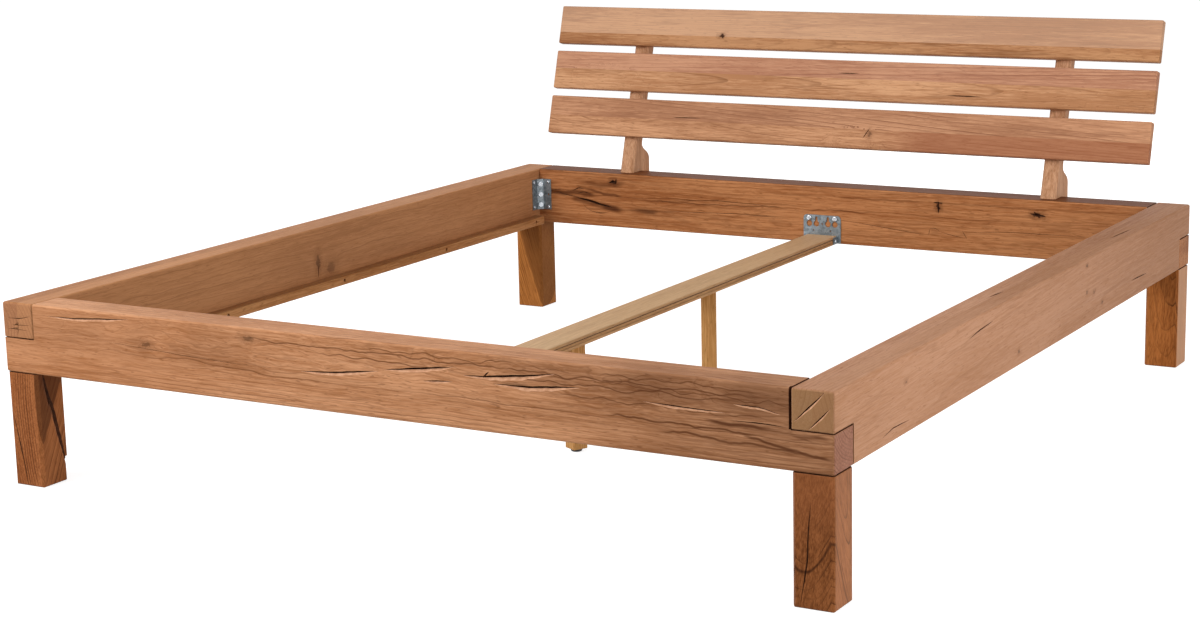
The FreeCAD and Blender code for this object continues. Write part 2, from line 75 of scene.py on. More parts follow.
def add(tree, kind, feeds, **settings):
    """Place a node, apply its settings and feed its inputs."""
    made = tree.nodes.new(kind)
    for name, value in settings.items():
        setattr(made, name, value)
    feed(tree, made, feeds)
    return made


def calc(tree, operation, *terms):
    return add(tree, "ShaderNodeMath", dict(enumerate(terms)), operation=operation).outputs[0]


def flip(tree, value):
    """One less the value."""
    return calc(tree, "SUBTRACT", 1.0, value)


def swing(tree, noise):
    """How far noise swings either side of its middle."""
    return calc(tree, "SUBTRACT", noise, 0.5)


def vector(tree, operation, *terms):
    made = add(tree, "ShaderNodeVectorMath", dict(enumerate(terms)), operation=operation)
    return made.outputs["Value" if operation in ("LENGTH", "DOT_PRODUCT") else "Vector"]


def split(tree, value):
    return add(tree, "ShaderNodeSeparateXYZ", {"Vector": value}).outputs


def join(tree, x, y, z):
    return add(tree, "ShaderNodeCombineXYZ", {"X": x, "Y": y, "Z": z}).outputs[0]


def step_up(tree, value, low, high):
    """Nought below low, one above high, and a smooth rise between them."""
    feeds = {"Value": value, "From Min": low, "From Max": high}
    return add(tree, "ShaderNodeMapRange", feeds, interpolation_type="SMOOTHSTEP").outputs["Result"]


def blend(tree, share, under, over):
    """A colour between two others."""
    made = add(tree, "ShaderNodeMix", {"Factor": share}, data_type="RGBA")
    colours = [number for number, socket in enumerate(made.inputs) if socket.type == "RGBA"]
    feed(tree, made, dict(zip(colours, (under, over))))
    return next(socket for socket in made.outputs if socket.type == "RGBA")


def grainy(tree, place, along, across, seed, detail=2.0, output="Fac"):
    """Noise drawn out along the grain: so many lumps a metre along it, and so many across it."""
    drawn = vector(tree, "MULTIPLY", place, (along, across, across))
    feeds = {"Vector": drawn, "W": seed, "Scale": 1.0, "Detail": detail, "Roughness": 0.55}
    return add(tree, "ShaderNodeTexNoise", feeds, noise_dimensions="4D").outputs[output]


def new_group(name, inputs, outputs):
    """An empty shader group with named sockets of each kind, what it is given and its output node."""
    tree = bpy.data.node_groups.new(name, "ShaderNodeTree")
    for direction, sockets in (("INPUT", inputs), ("OUTPUT", outputs)):
        for kind, labels in sockets.items():
            for label in labels:
                tree.interface.new_socket(label, in_out=direction, socket_type="NodeSocket" + kind)
    return tree, tree.nodes.new("NodeGroupInput").outputs, tree.nodes.new("NodeGroupOutput")


def make_timber_group():
    """Planed beech at a place whose X runs along the grain: rings round a heart, fibres, flecks, veins."""
    tree, given, result = new_group(
        "Timber",
        {"Vector": ("Place", "Facing", "Heart", "Tilt"),
         "Float": ("Heart Edge", "Heart Line", "Heart Shade", "Ring Gap", "Wander", "Calm", "Swirl", "Seed",
                   "Rings", "Streaks", "Lines", "Veins", "Blotch", "Soak",
                   "Stain", "Stain From", "Stain To"),
         "Color": ("Pale", "Middle", "Dark", "End")},
        {"Color": ("Color",), "Float": ("Roughness", "Height")})
    place, seed = given["Place"], given["Seed"]

    def seeded(step):
        return calc(tree, "ADD", seed, step)

    def lines(field, near, far, gate, amount):
        """Thin lines where a field of noise crosses its middle, shown where the gate is open."""
        off = calc(tree, "ABSOLUTE", swing(tree, field))
        shown = calc(tree, "MULTIPLY", flip(tree, step_up(tree, off, near, far)), gate)
        return calc(tree, "MULTIPLY", shown, amount)

    # The heart of the tree tilts along the piece, and the rings round it waver, less so where it is calm
    half = (0.5, 0.5, 0.5)
    long_waves = vector(tree, "SUBTRACT", grainy(tree, place, 1.6, 5.0, seed, 1.0, "Color"), half)
    short_waves = vector(tree, "SUBTRACT", grainy(tree, place, 9.0, 24.0, seed, 2.0, "Color"), half)
    bend = vector(tree, "ADD", long_waves, vector(tree, "MULTIPLY", short_waves, (0.4, 0.4, 0.4)))
    parts = split(tree, place)
    along = parts["X"]
    stilled = calc(tree, "MULTIPLY", given["Calm"], flip(tree, step_up(tree, parts["Z"], -0.045, 0.03)))
    wander = calc(tree, "MULTIPLY", given["Wander"], flip(tree, stilled))
    bend = vector(tree, "MULTIPLY", bend, join(tree, 0.0, wander, wander))
    run = join(tree, along, along, along)
    heart = vector(tree, "ADD", given["Heart"], vector(tree, "MULTIPLY", given["Tilt"], run))
    from_heart = vector(tree, "ADD", vector(tree, "SUBTRACT", place, heart), bend)
    outwards = vector(tree, "MULTIPLY", from_heart, (0.0, 1.0, 1.0))
    radius = calc(tree, "ADD", vector(tree, "LENGTH", outwards), given["Swirl"])
    # A ring's dark edge stays a thin line on the surface, however steeply the surface cuts the ring
    count = calc(tree, "DIVIDE", radius, given["Ring Gap"])
    season = calc(tree, "FRACT", count)
    square_on = vector(tree, "DOT_PRODUCT", vector(tree, "NORMALIZE", outwards), given["Facing"])
    slant = calc(tree, "SQRT", calc(tree, "SUBTRACT", 1.001, calc(tree, "MULTIPLY", square_on, square_on)))
    slant = calc(tree, "MAXIMUM", slant, 0.3)
    to_edge = calc(tree, "MULTIPLY", flip(tree, season), given["Ring Gap"])
    thin = flip(tree, step_up(tree, calc(tree, "DIVIDE", to_edge, slant), 0.0006, 0.0032))
    broad = step_up(tree, season, 0.0, 1.0)
    late = calc(tree, "MULTIPLY_ADD", broad, 0.22, calc(tree, "MULTIPLY", thin, 0.78))
    late = calc(tree, "MULTIPLY", late, flip(tree, step_up(tree, season, 0.985, 1.0)))
    # Some years and some stretches show more than others
    year = calc(tree, "ADD", calc(tree, "FLOOR", count), seed)
    chance = add(tree, "ShaderNodeTexWhiteNoise", {"W": year}, noise_dimensions="1D").outputs["Value"]
    weather = calc(tree, "MULTIPLY_ADD", calc(tree, "POWER", chance, 1.5), 0.75, 0.25)
    fading = step_up(tree, grainy(tree, place, 3.0, 12.0, seeded(41.0), 1.0), 0.35, 0.6)
    weather = calc(tree, "MULTIPLY", weather, calc(tree, "MULTIPLY_ADD", fading, 0.7, 0.3))
    ring = calc(tree, "MULTIPLY", calc(tree, "MULTIPLY", late, weather), given["Rings"])
    # The ground tone: streaks, bands, fibres and soft patches
    fibre = grainy(tree, from_heart, 24.0, 420.0, seed, 2.0)
    streak = grainy(tree, from_heart, 4.0, 180.0, seeded(3.7), 3.0)
    band = grainy(tree, from_heart, 2.2, 30.0, seeded(5.3), 2.0)
    patch = grainy(tree, place, 1.3, 7.0, seeded(9.1), 3.0)
    tone = calc(tree, "MULTIPLY", swing(tree, streak), 2.4)
    tone = calc(tree, "MULTIPLY_ADD", swing(tree, band), 1.4, tone)
    tone = calc(tree, "MULTIPLY_ADD", tone, given["Streaks"], 0.5)
    tone = calc(tree, "MULTIPLY_ADD", swing(tree, fibre), 2.2, tone)
    spread = calc(tree, "MULTIPLY", given["Blotch"], swing(tree, patch))
    tone = calc(tree, "MULTIPLY_ADD", spread, 2.0, tone)
    tone = add(tree, "ShaderNodeClamp", {"Value": tone}).outputs[0]
    # Dark marks: wavering veins, fine lines, ray flecks, the heartwood and its edge
    gate = step_up(tree, grainy(tree, place, 1.1, 4.0, seeded(31.0), 1.0), 0.47, 0.6)
    vein = lines(grainy(tree, place, 1.5, 12.0, seeded(21.0), 4.0), 0.002, 0.016, gate, given["Veins"])
    gate = step_up(tree, grainy(tree, place, 2.4, 16.0, seeded(17.0), 1.0), 0.42, 0.62)
    line = lines(grainy(tree, from_heart, 2.6, 60.0, seeded(13.0), 3.0), 0.0, 0.045, gate, given["Lines"])
    ray = step_up(tree, grainy(tree, from_heart, 45.0, 330.0, seed, 1.0), 0.6, 0.72)
    fleck = calc(tree, "MULTIPLY", ray, 0.42)
    off_edge = calc(tree, "ABSOLUTE", calc(tree, "SUBTRACT", radius, given["Heart Edge"]))
    heart_edge = flip(tree, step_up(tree, calc(tree, "DIVIDE", off_edge, slant), 0.0005, 0.005))
    inside = calc(tree, "LESS_THAN", radius, given["Heart Edge"])
    heartwood = calc(tree, "MAXIMUM", calc(tree, "MULTIPLY", heart_edge, given["Heart Line"]),
                     calc(tree, "MULTIPLY", inside, given["Heart Shade"]))
    depth = calc(tree, "MAXIMUM", calc(tree, "MAXIMUM", ring, vein), calc(tree, "MAXIMUM", fleck, line))
    depth = calc(tree, "MAXIMUM", depth, heartwood)
    # A stain creeps along the streaks from one end
    edge = calc(tree, "MULTIPLY_ADD", swing(tree, patch), 0.9, along)
    reached = step_up(tree, edge, given["Stain From"], given["Stain To"])
    stain = calc(tree, "MULTIPLY", reached, given["Stain"])
    stain = calc(tree, "MULTIPLY", stain, calc(tree, "MULTIPLY_ADD", streak, 1.6, 0.2))
    unstained = flip(tree, add(tree, "ShaderNodeClamp", {"Value": stain}).outputs[0])
    depth = flip(tree, calc(tree, "MULTIPLY", flip(tree, depth), unstained))
    colour = blend(tree, depth, blend(tree, tone, given["Pale"], given["Middle"]), given["Dark"])
    # End grain soaks up more of the oil
    end = step_up(tree, calc(tree, "ABSOLUTE", split(tree, given["Facing"])["X"]), 0.6, 0.95)
    soaked = blend(tree, given["Soak"], colour, given["End"])
    soaked = blend(tree, calc(tree, "MULTIPLY", ring, 0.7), soaked, given["Dark"])
    rough = calc(tree, "MULTIPLY_ADD", fibre, 0.22, 0.36)
    feed(tree, result, {"Color": blend(tree, end, colour, soaked),
                        "Roughness": calc(tree, "MULTIPLY_ADD", depth, 0.1, rough),
                        "Height": calc(tree, "MULTIPLY_ADD", depth, -0.5, fibre)})
    return tree


def make_knot_group():
    """A branch cut through: its dark core, the stained wood round it, and how it pushes the rings out."""
    tree, given, result = new_group("Knot", {"Vector": ("Place", "Centre", "Size")},
                                    {"Float": ("Core", "Halo", "Swirl")})
    ragged = grainy(tree, given["Place"], 120.0, 120.0, 1.0, 2.0, "Color")
    ragged = vector(tree, "SUBTRACT", ragged, (0.5, 0.5, 0.5))
    ragged = vector(tree, "MULTIPLY", ragged, (0.02, 0.016, 0.016))
    offset = vector(tree, "SUBTRACT", vector(tree, "ADD", given["Place"], ragged), given["Centre"])
    far = vector(tree, "LENGTH", vector(tree, "DIVIDE", offset, given["Size"]))
    halo = flip(tree, step_up(tree, far, 0.8, 3.0))
    push = calc(tree, "MULTIPLY", calc(tree, "MULTIPLY", halo, halo), split(tree, given["Size"])["Y"])
    feed(tree, result, {"Core": flip(tree, step_up(tree, far, 0.6, 1.15)), "Halo": halo, "Swirl": push})
    return tree


def make_vein_group():
    """A dark heartwood line that wavers along the grain between two places, broken here and there."""
    tree, given, result = new_group(
        "Vein", {"Vector": ("Place", "Start", "End"), "Float": ("Waver", "Width", "Seed")},
        {"Float": ("Mask",)})
    here, start, end = [split(tree, given[label]) for label in ("Place", "Start", "End")]
    run = calc(tree, "SUBTRACT", end["X"], start["X"])
    share = calc(tree, "DIVIDE", calc(tree, "SUBTRACT", here["X"], start["X"]), run)
    level = calc(tree, "MULTIPLY_ADD", calc(tree, "SUBTRACT", end["Z"], start["Z"]), share, start["Z"])
    waver = swing(tree, grainy(tree, given["Place"], 15.0, 3.0, given["Seed"], 2.0))
    level = calc(tree, "MULTIPLY_ADD", waver, given["Waver"], level)
    away = calc(tree, "ABSOLUTE", calc(tree, "SUBTRACT", here["Z"], level))
    line = flip(tree, step_up(tree, calc(tree, "DIVIDE", away, given["Width"]), 0.2, 1.0))
    fade = calc(tree, "MULTIPLY", step_up(tree, share, 0.0, 0.12),
                flip(tree, step_up(tree, share, 0.85, 1.0)))
    breaks = step_up(tree, grainy(tree, given["Place"], 7.0, 7.0, given["Seed"], 1.0), 0.3, 0.5)
    feed(tree, result, {"Mask": calc(tree, "MULTIPLY", calc(tree, "MULTIPLY", line, fade), breaks)})
    return tree


TIMBER = make_timber_group()
KNOT = make_knot_group()
VEIN = make_vein_group()
GRAIN_ORDER = {"x": "XYZ", "y": "YXZ", "z": "ZXY"}
KNOT_COLOUR = tint(40, 20, 11)


def new_material(name):
    """An empty material, its nodes and its shader."""
    material = bpy.data.materials.new(name)
    material.use_nodes = True
    return material, material.node_tree, material.node_tree.nodes["Principled BSDF"]


def grain_vector(tree, source, grain, lean):
    """The object's own directions, turned so that X runs along the grain."""
    if lean:
        source = add(tree, "ShaderNodeVectorRotate", {"Vector": source, "Angle": lean},
                     rotation_type="X_AXIS").outputs[0]
    parts = split(tree, source)
    return join(tree, *[parts[axis] for axis in GRAIN_ORDER[grain]])


def timber_material(name, middle, grain, colours, figure, knots=(), veins=(), lean=0.0, strips=None):
    """Beech for one piece, in a pale, a middle and a dark colour.

    Places run along the grain, across it and up from the middle of the piece.
    A knot is a centre, a size and a darkness, which is nought where it only curls the rings.
    A vein is a start, an end, a waver, a width and a darkness.
    Strips tint what lies past a seam, and their low_end tints one end of what lies short of it.
    """
    material, tree, shader = new_material(name)
    where = tree.nodes.new("ShaderNodeTexCoord").outputs
    place = grain_vector(tree, vector(tree, "SUBTRACT", where["Object"], middle), grain, lean)
    pale, ground, dark = colours
    feeds = {"Place": place, "Facing": grain_vector(tree, where["Normal"], grain, lean), "Heart Line": 0.75,
             "Heart Shade": 0.28, "Streaks": 1.0, "Lines": 0.3, "Soak": 0.15, "Stain To": 1.0,
             "Pale": pale, "Middle": ground, "Dark": dark, "End": dark, **figure}
    swirl, core, halo = 0.0, 0.0, 0.0
    for centre, size, darkness in knots:
        knot = add(tree, "ShaderNodeGroup", {"Place": place, "Centre": centre, "Size": size},
                   node_tree=KNOT).outputs
        swirl = calc(tree, "ADD", swirl, knot["Swirl"])
        core = calc(tree, "MAXIMUM", core, calc(tree, "MULTIPLY", knot["Core"], darkness))
        halo = calc(tree, "MAXIMUM", halo, calc(tree, "MULTIPLY", knot["Halo"], darkness))
    feeds["Swirl"] = swirl
    if strips:
        # Past the seam is another board, so the place jumps to other wood
        parts = split(tree, place)
        past = calc(tree, "GREATER_THAN", parts[strips.get("axis", "Z")], strips["seam"])
        jump = vector(tree, "MULTIPLY", strips.get("jump", (0, 0, 0)), join(tree, past, past, past))
        feeds["Place"] = vector(tree, "ADD", place, jump)
    wood = add(tree, "ShaderNodeGroup", feeds, node_tree=TIMBER).outputs
    colour = wood["Color"]
    if strips:
        over = blend(tree, strips["share"], colour, strips["colour"])
        if "low_end" in strips:
            end_colour, end_share, start, stop = strips["low_end"]
            reached = calc(tree, "MULTIPLY", step_up(tree, parts["X"], start, stop), end_share)
            colour = blend(tree, reached, colour, end_colour)
        colour = blend(tree, past, colour, over)
    for number, (start, end, waver, width, darkness) in enumerate(veins):
        vein_feeds = {"Place": place, "Start": start, "End": end, "Waver": waver, "Width": width,
                      "Seed": 2.0 * number + figure["Seed"]}
        vein = add(tree, "ShaderNodeGroup", vein_feeds, node_tree=VEIN).outputs["Mask"]
        colour = blend(tree, calc(tree, "MULTIPLY", vein, darkness), colour, dark)
    if knots:
        colour = blend(tree, calc(tree, "MULTIPLY", halo, 0.55), colour, dark)
        colour = blend(tree, core, colour, KNOT_COLOUR)
    bump = add(tree, "ShaderNodeBump", {"Strength": 0.35, "Distance": 0.0006, "Height": wood["Height"]})
    feed(tree, shader, {"Base Color": colour, "Roughness": wood["Roughness"], "Specular IOR Level": 0.05,
                        "Normal": bump.outputs["Normal"]})
    return material


WOOD_SLOT, LIP_SLOT, DEPTH_SLOT = 0, 1, 2
PROUD = 0.0004
CHECK_STEP = 0.012
# How far a check gapes above and below its line, as shares of its opening
WORN_GAPE = (0.38, 0.22)
CRISP_GAPE = (0.45, 0.3)


def blade_mesh(rings, finishes, end_finish):
    """A closed blade through rings of four corners, with a finish for each side and one for the ends."""
    mesh = bmesh.new()
    rings = [[mesh.verts.new(corner) for corner in corners] for corners in rings]
    for before, after in zip(rings, rings[1:]):
        for side, finish in enumerate(finishes):
            following = (side + 1) % 4
            face = mesh.faces.new((before[side], before[following], after[following], after[side]))
            face.material_index = finish
    for end in (list(reversed(rings[0])), rings[-1]):
        mesh.faces.new(end).material_index = end_finish
    bmesh.ops.recalc_face_normals(mesh, faces=mesh.faces)
    return mesh


def check_cutter(path, outward, opening, depth, lip_share, draw):
    """A blade along a drying check: pointed at both ends, with a lower lip worn as far as it gapes."""
    points = [Vector(point) for point in path]
    outward = Vector(outward)
    lengths = [(after - before).length for before, after in zip(points, points[1:])]
    whole = sum(lengths)
    steps = max(6, int(whole / CHECK_STEP))
    above, below = WORN_GAPE if lip_share else CRISP_GAPE
    rings = []
    for number in range(steps + 1):
        share = number / steps
        travelled = share * whole
        leg = 0
        while leg < len(lengths) - 1 and travelled > lengths[leg]:
            travelled -= lengths[leg]
            leg += 1
        forward = (points[leg + 1] - points[leg]).normalized()
        spot = points[leg] + forward * travelled
        upward = outward.cross(forward).normalized()
        swell = math.sin(math.pi * min(max(share, 0.01), 0.99))
        width = opening * swell ** 0.8 * draw.uniform(0.85, 1.15)
        deep = depth * swell ** 0.8
        spot += upward * draw.uniform(-0.06, 0.06) * opening
        lip = lip_share * width
        rings.append((spot + outward * PROUD + upward * width * above, spot - outward * deep,
                      spot - outward * lip - upward * width * below,
                      spot + outward * PROUD - upward * (width * below + 1.5 * (lip + PROUD))))
    return blade_mesh(rings, (DEPTH_SLOT, DEPTH_SLOT, LIP_SLOT, DEPTH_SLOT), WOOD_SLOT)


def joint_cutter(start, end, outward, opening, depth, finish=DEPTH_SLOT):
    """A plain saw-kerf blade along a joint line, from one end of it to the other."""
    start, end, outward = Vector(start), Vector(end), Vector(outward)
    aside = outward.cross((end - start).normalized()) * opening / 2
    rings = [(spot + outward * PROUD + aside, spot - outward * depth + aside,
              spot - outward * depth - aside, spot + outward * PROUD - aside) for spot in (start, end)]
    return blade_mesh(rings, (finish,) * 4, finish)


def fibrous_material(name, pale, dark):
    """Torn wood in a check, too small to show rings: paler worn wood with a painted highlight on a lip,
    painted shade in a depth.
    """
    material, tree, shader = new_material(name)
    place = tree.nodes.new("ShaderNodeTexCoord").outputs["Object"]
    fibre = grainy(tree, place, 90.0, 90.0, 1.0, 4.0)
    feed(tree, shader, {"Base Color": blend(tree, step_up(tree, fibre, 0.3, 0.7), pale, dark),
                        "Roughness": calc(tree, "MULTIPLY_ADD", fibre, 0.3, 0.55),
                        "Specular IOR Level": 0.15})
    return material


# The lip is paler worn wood with a painted highlight; the depth of checks and joint kerfs is painted shade
WORN_LIP_AND_HIGHLIGHT = fibrous_material("worn_lip_and_highlight", tint(228, 175, 138), tint(196, 140, 104))
CHECK_DEPTH_SHADE = fibrous_material("check_depth_shade", tint(92, 53, 32), tint(56, 31, 18))


def wood_volume(shape):
    solid = bmesh.new()
    solid.from_mesh(shape)
    volume = solid.calc_volume()
    solid.free()
    return volume


SLIT = 3e-5


def close_slits(shape):
    """Weld the slits, finer than a hair, that a cut can leave where planes nearly meet."""
    solid = bmesh.new()
    solid.from_mesh(shape)
    ends = [vert for vert in solid.verts if not all(edge.is_manifold for edge in vert.link_edges)]
    bmesh.ops.remove_doubles(solid, verts=ends, dist=SLIT)
    solid.to_mesh(shape)
    solid.free()


def put_in_scene(name, data):
    made = bpy.data.objects.new(name, data)
    bpy.context.scene.collection.objects.link(made)
    return made


def timber_object(name, solid, wood):
    """An object of the solid, with the wood and the two finishes of its checks in their slots."""
    shape = bpy.data.meshes.new(name)
    solid.to_mesh(shape)
    solid.free()
    for finish in (wood, WORN_LIP_AND_HIGHLIGHT, CHECK_DEPTH_SHADE):
        shape.materials.append(finish)
    return put_in_scene(name, shape)


WELD = 2e-6
LEAST_LEFT, MOST_LEFT = 0.9, 1.0001
SHARP_EDGE = math.radians(32)


def checked_timber(node, checks, wood, joints=(), body="frame"):
    """The node's timber with its drying checks and open joint lines cut in, standing for the plain node."""
    draw = random.Random(node)
    solid = bmesh.new()
    solid.from_mesh(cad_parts[node].data)
    bmesh.ops.remove_doubles(solid, verts=solid.verts, dist=WELD)
    piece = timber_object(node + "_checked", solid, wood)
    blades = [joint_cutter(*joint) for joint in joints]
    blades += [check_cutter(*check, draw) for check in checks]
    for blade in blades:
        cutter = timber_object("blade", blade, wood)
        saw = piece.modifiers.new("check", "BOOLEAN")
        saw.operation = "DIFFERENCE"
        saw.solver = "EXACT"
        saw.object = cutter
        bpy.context.view_layer.update()
        cut = bpy.data.meshes.new_from_object(piece.evaluated_get(bpy.context.evaluated_depsgraph_get()))
        piece.modifiers.clear()
        # A cut takes away a little wood; one that comes out otherwise is left out
        if LEAST_LEFT < wood_volume(cut) / wood_volume(piece.data) < MOST_LEFT:
            piece.data = cut
        bpy.data.objects.remove(cutter)
    close_slits(piece.data)
    piece.data.shade_smooth()
    piece.data.set_sharp_from_angle(angle=SHARP_EDGE)
    even = piece.modifiers.new("even_shading", "WEIGHTED_NORMAL")
    even.keep_sharp = True
    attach(piece, body)
    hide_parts(node)


def check_rows(place, outward, rows):
    """Checks from rows of an opening, a depth, a lip and spots, which place sets on a face."""
    return [([place(*spot) for spot in spots], outward, opening, depth, lip)
            for opening, depth, lip, *spots in rows]


def on_foot_face(x, z):
    return (x, FOOT_LOW.y, z)


TOWARDS_FOOT = (0, -1, 0)
WORN, CRISP = 0.55, 0.0
FOOT_CHECKS = check_rows(on_foot_face, TOWARDS_FOOT, (
    (0.005, 0.022, WORN, (-0.855, 0.388), (-0.78, 0.389), (-0.71, 0.394), (-0.63, 0.4)),
    (0.0065, 0.03, WORN, (-0.185, 0.333), (-0.1, 0.338), (0.005, 0.352)),
    (0.007, 0.03, WORN, (0.02, 0.356), (0.095, 0.365), (0.18, 0.376)),
    (0.004, 0.015, WORN, (0.11, 0.343), (0.18, 0.348)),
    (0.0075, 0.035, WORN, (0.205, 0.363), (0.255, 0.365), (0.335, 0.374), (0.41, 0.385)),
    (0.004, 0.015, CRISP, (0.248, 0.362), (0.264, 0.376)),
    (0.007, 0.03, WORN, (0.275, 0.353), (0.355, 0.354), (0.465, 0.365)),
    (0.0045, 0.02, WORN, (0.6, 0.353), (0.68, 0.35), (0.77, 0.349)),
    (0.004, 0.015, WORN, (0.785, 0.367), (0.84, 0.366), (0.88, 0.357)),
    (0.003, 0.015, CRISP, (0.78, 0.336), (0.84, 0.337), (0.895, 0.335)),
    (0.0012, 0.008, CRISP, (-0.705, 0.348), (-0.495, 0.337), (-0.29, 0.33)),
))
WELL_HALF = -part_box("left_side_beam")[1].x
LAP_LEVEL = (FOOT_LOW.z + FOOT_HIGH.z) / 2
JOINT_OPENING = 0.0032
JOINT_DEPTH = 0.006


def lap_joints(low, high):
    """The lines where an end beam meets the side beams: down its faces, across its top, round its laps."""
    lines = []
    for side in (-1, 1):
        inner, outer = side * WELL_HALF, side * high.x
        for face, outward in ((low.y, (0, -1, 0)), (high.y, (0, 1, 0))):
            lines.append(((inner, face, LAP_LEVEL), (inner, face, high.z + JOINT_DEPTH), outward))
            lines.append(((inner, face, LAP_LEVEL), (outer, face, LAP_LEVEL), outward))
        lines.append(((inner, low.y, high.z), (inner, high.y, high.z), (0, 0, 1)))
        lines.append(((outer, low.y, LAP_LEVEL), (outer, high.y, LAP_LEVEL), (side, 0, 0)))
        inside = high.y if low.y < 0 else low.y
        lines.append(((outer, inside, low.z), (outer, inside, LAP_LEVEL), (side, 0, 0)))
    return [(*line, JOINT_OPENING, JOINT_DEPTH) for line in lines]


# The joint at the foot beam's right end has opened wider than the others
WIDE_OPENING = 0.0046
WIDE_DEPTH = 0.009
WIDE_X = WELL_HALF - WIDE_OPENING / 3
wide_joint = (on_foot_face(WIDE_X, LAP_LEVEL), on_foot_face(WIDE_X, FOOT_HIGH.z), TOWARDS_FOOT,
              WIDE_OPENING, WIDE_DEPTH)
FOOT_TOP_ROUND = 0.003
foot_wood = timber_material(
    "foot_beam_timber", FOOT_MIDDLE, "x",
    (tint(216, 158, 116), tint(175, 118, 78), tint(88, 48, 25)),
    {"Heart": (0, 0.07, 0.07), "Ring Gap": 0.0065, "Wander": 0.06, "Calm": 0.75, "Seed": 4.0, "Rings": 0.85,
     "Streaks": 0.75, "Veins": 0.3, "Blotch": 1.5, "Soak": 0.6, "End": tint(138, 94, 82),
     "Stain": 0.4, "Stain From": 0.3, "Stain To": 0.9},
    knots=(((-0.585, -BEAM_HALF_THICK, 0.018), (0.012, 0.006, 0.006), 0.45),
           ((-0.315, -BEAM_HALF_THICK, 0.056), (0.014, 0.006, 0.006), 0.45)),
    veins=(((-0.4, 0, 0.056), (0.92, 0, 0.05), 0.03, 0.0022, 0.7),
           ((-0.2, 0, 0.042), (0.9, 0, 0.036), 0.034, 0.002, 0.7),
           ((0.3, 0, 0.018), (0.92, 0, 0.012), 0.03, 0.002, 0.6),
           ((0.5, 0, -0.012), (0.97, 0, -0.02), 0.03, 0.0028, 0.8),
           ((0.62, 0, -0.03), (0.985, 0, -0.045), 0.03, 0.0034, 0.7),
           ((0.72, 0, 0.0), (0.99, 0, -0.012), 0.014, 0.005, 0.9),
           ((0.8, 0, -0.022), (0.99, 0, -0.05), 0.02, 0.0042, 0.85),
           ((-0.1, 0, 0.063), (0.95, 0, 0.06), 0.035, 0.0018, 0.65),
           ((0.3, 0, 0.048), (0.95, 0, 0.043), 0.04, 0.0016, 0.6),
           # The last three are broad, soft clouds
           ((0.2, 0, 0.05), (1.3, 0, 0.05), 0.02, 0.05, 0.24),
           ((0.5, 0, 0.05), (1.3, 0, 0.05), 0.02, 0.05, 0.3),
           ((-1.4, 0, 0.025), (-0.25, 0, 0.025), 0.02, 0.07, 0.16)),
    # The top face and its round are painted paler past the seam: a painted highlight. The low_end tints the
    # left end of the face.
    strips={"seam": BEAM_HALF_HIGH - FOOT_TOP_ROUND, "colour": tint(232, 176, 134), "share": 0.12,
            "low_end": (tint(168, 104, 60), 0.3, -0.2, -0.7)})
checked_timber("foot_beam", FOOT_CHECKS, foot_wood,
               [*lap_joints(FOOT_LOW, FOOT_HIGH), wide_joint])


# Head beam: the same squared timber across the head end, with knots, a long check and a heartwood
# line on the face towards the well, and its top painted dark as shade. It carries the headboard posts.
HEAD_LOW, HEAD_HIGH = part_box("head_beam")


def on_head_face(x, z):
    return (x, HEAD_LOW.y, z)


HEAD_CHECKS = check_rows(on_head_face, TOWARDS_FOOT, (
    (0.0095, 0.03, CRISP, (-0.78, 0.335), (-0.74, 0.328), (-0.7, 0.319), (-0.655, 0.311)),
    (0.0027, 0.01, CRISP, (-0.872, 0.337), (-0.838, 0.346), (-0.805, 0.339), (-0.765, 0.336)),
    (0.0035, 0.008, CRISP, (-0.79, 0.352), (-0.768, 0.362), (-0.748, 0.36)),
    (0.003, 0.008, CRISP, (-0.775, 0.345), (-0.75, 0.352), (-0.725, 0.346)),
    (0.006, 0.01, CRISP, (0.322, 0.386), (0.349, 0.386)),
    (0.007, 0.012, CRISP, (0.336, 0.39), (0.336, 0.358)),
    (0.009, 0.012, CRISP, (0.588, 0.373), (0.634, 0.368)),
    (0.006, 0.01, CRISP, (0.6, 0.38), (0.612, 0.366)),
    (0.009, 0.012, CRISP, (-0.668, 0.383), (-0.64, 0.387)),
    (0.006, 0.01, CRISP, (-0.643, 0.396), (-0.646, 0.378)),
))
# Fine heartwood cracks, one of them stepped like a stair
HAIRLINE = (0.0017, 0.006, CRISP)
HEAD_CHECKS += check_rows(on_head_face, TOWARDS_FOOT, (
    (*HAIRLINE, (0.053, 0.322), (0.141, 0.314), (0.242, 0.303), (0.31, 0.297)),
    (*HAIRLINE, (0.309, 0.296), (0.313, 0.317)),
    (*HAIRLINE, (0.311, 0.316), (0.328, 0.318), (0.343, 0.308)),
    (*HAIRLINE, (0.341, 0.309), (0.372, 0.302), (0.417, 0.295)),
    (*HAIRLINE, (0.417, 0.295), (0.404, 0.316)),
    (*HAIRLINE, (0.403, 0.315), (0.445, 0.314), (0.52, 0.32), (0.62, 0.321), (0.76, 0.323)),
    (*HAIRLINE, (-0.534, 0.332), (-0.453, 0.343), (-0.311, 0.352), (-0.127, 0.346)),
    (*HAIRLINE, (-0.567, 0.302), (-0.438, 0.313), (-0.25, 0.319), (-0.097, 0.315)),
    (*HAIRLINE, (-0.757, 0.325), (-0.748, 0.308), (-0.725, 0.296), (-0.69, 0.292), (-0.662, 0.301)),
    (*HAIRLINE, (-0.9, 0.352), (-0.865, 0.349), (-0.82, 0.356), (-0.79, 0.35)),
))
HEAD_TOP_ROUND = 0.0008
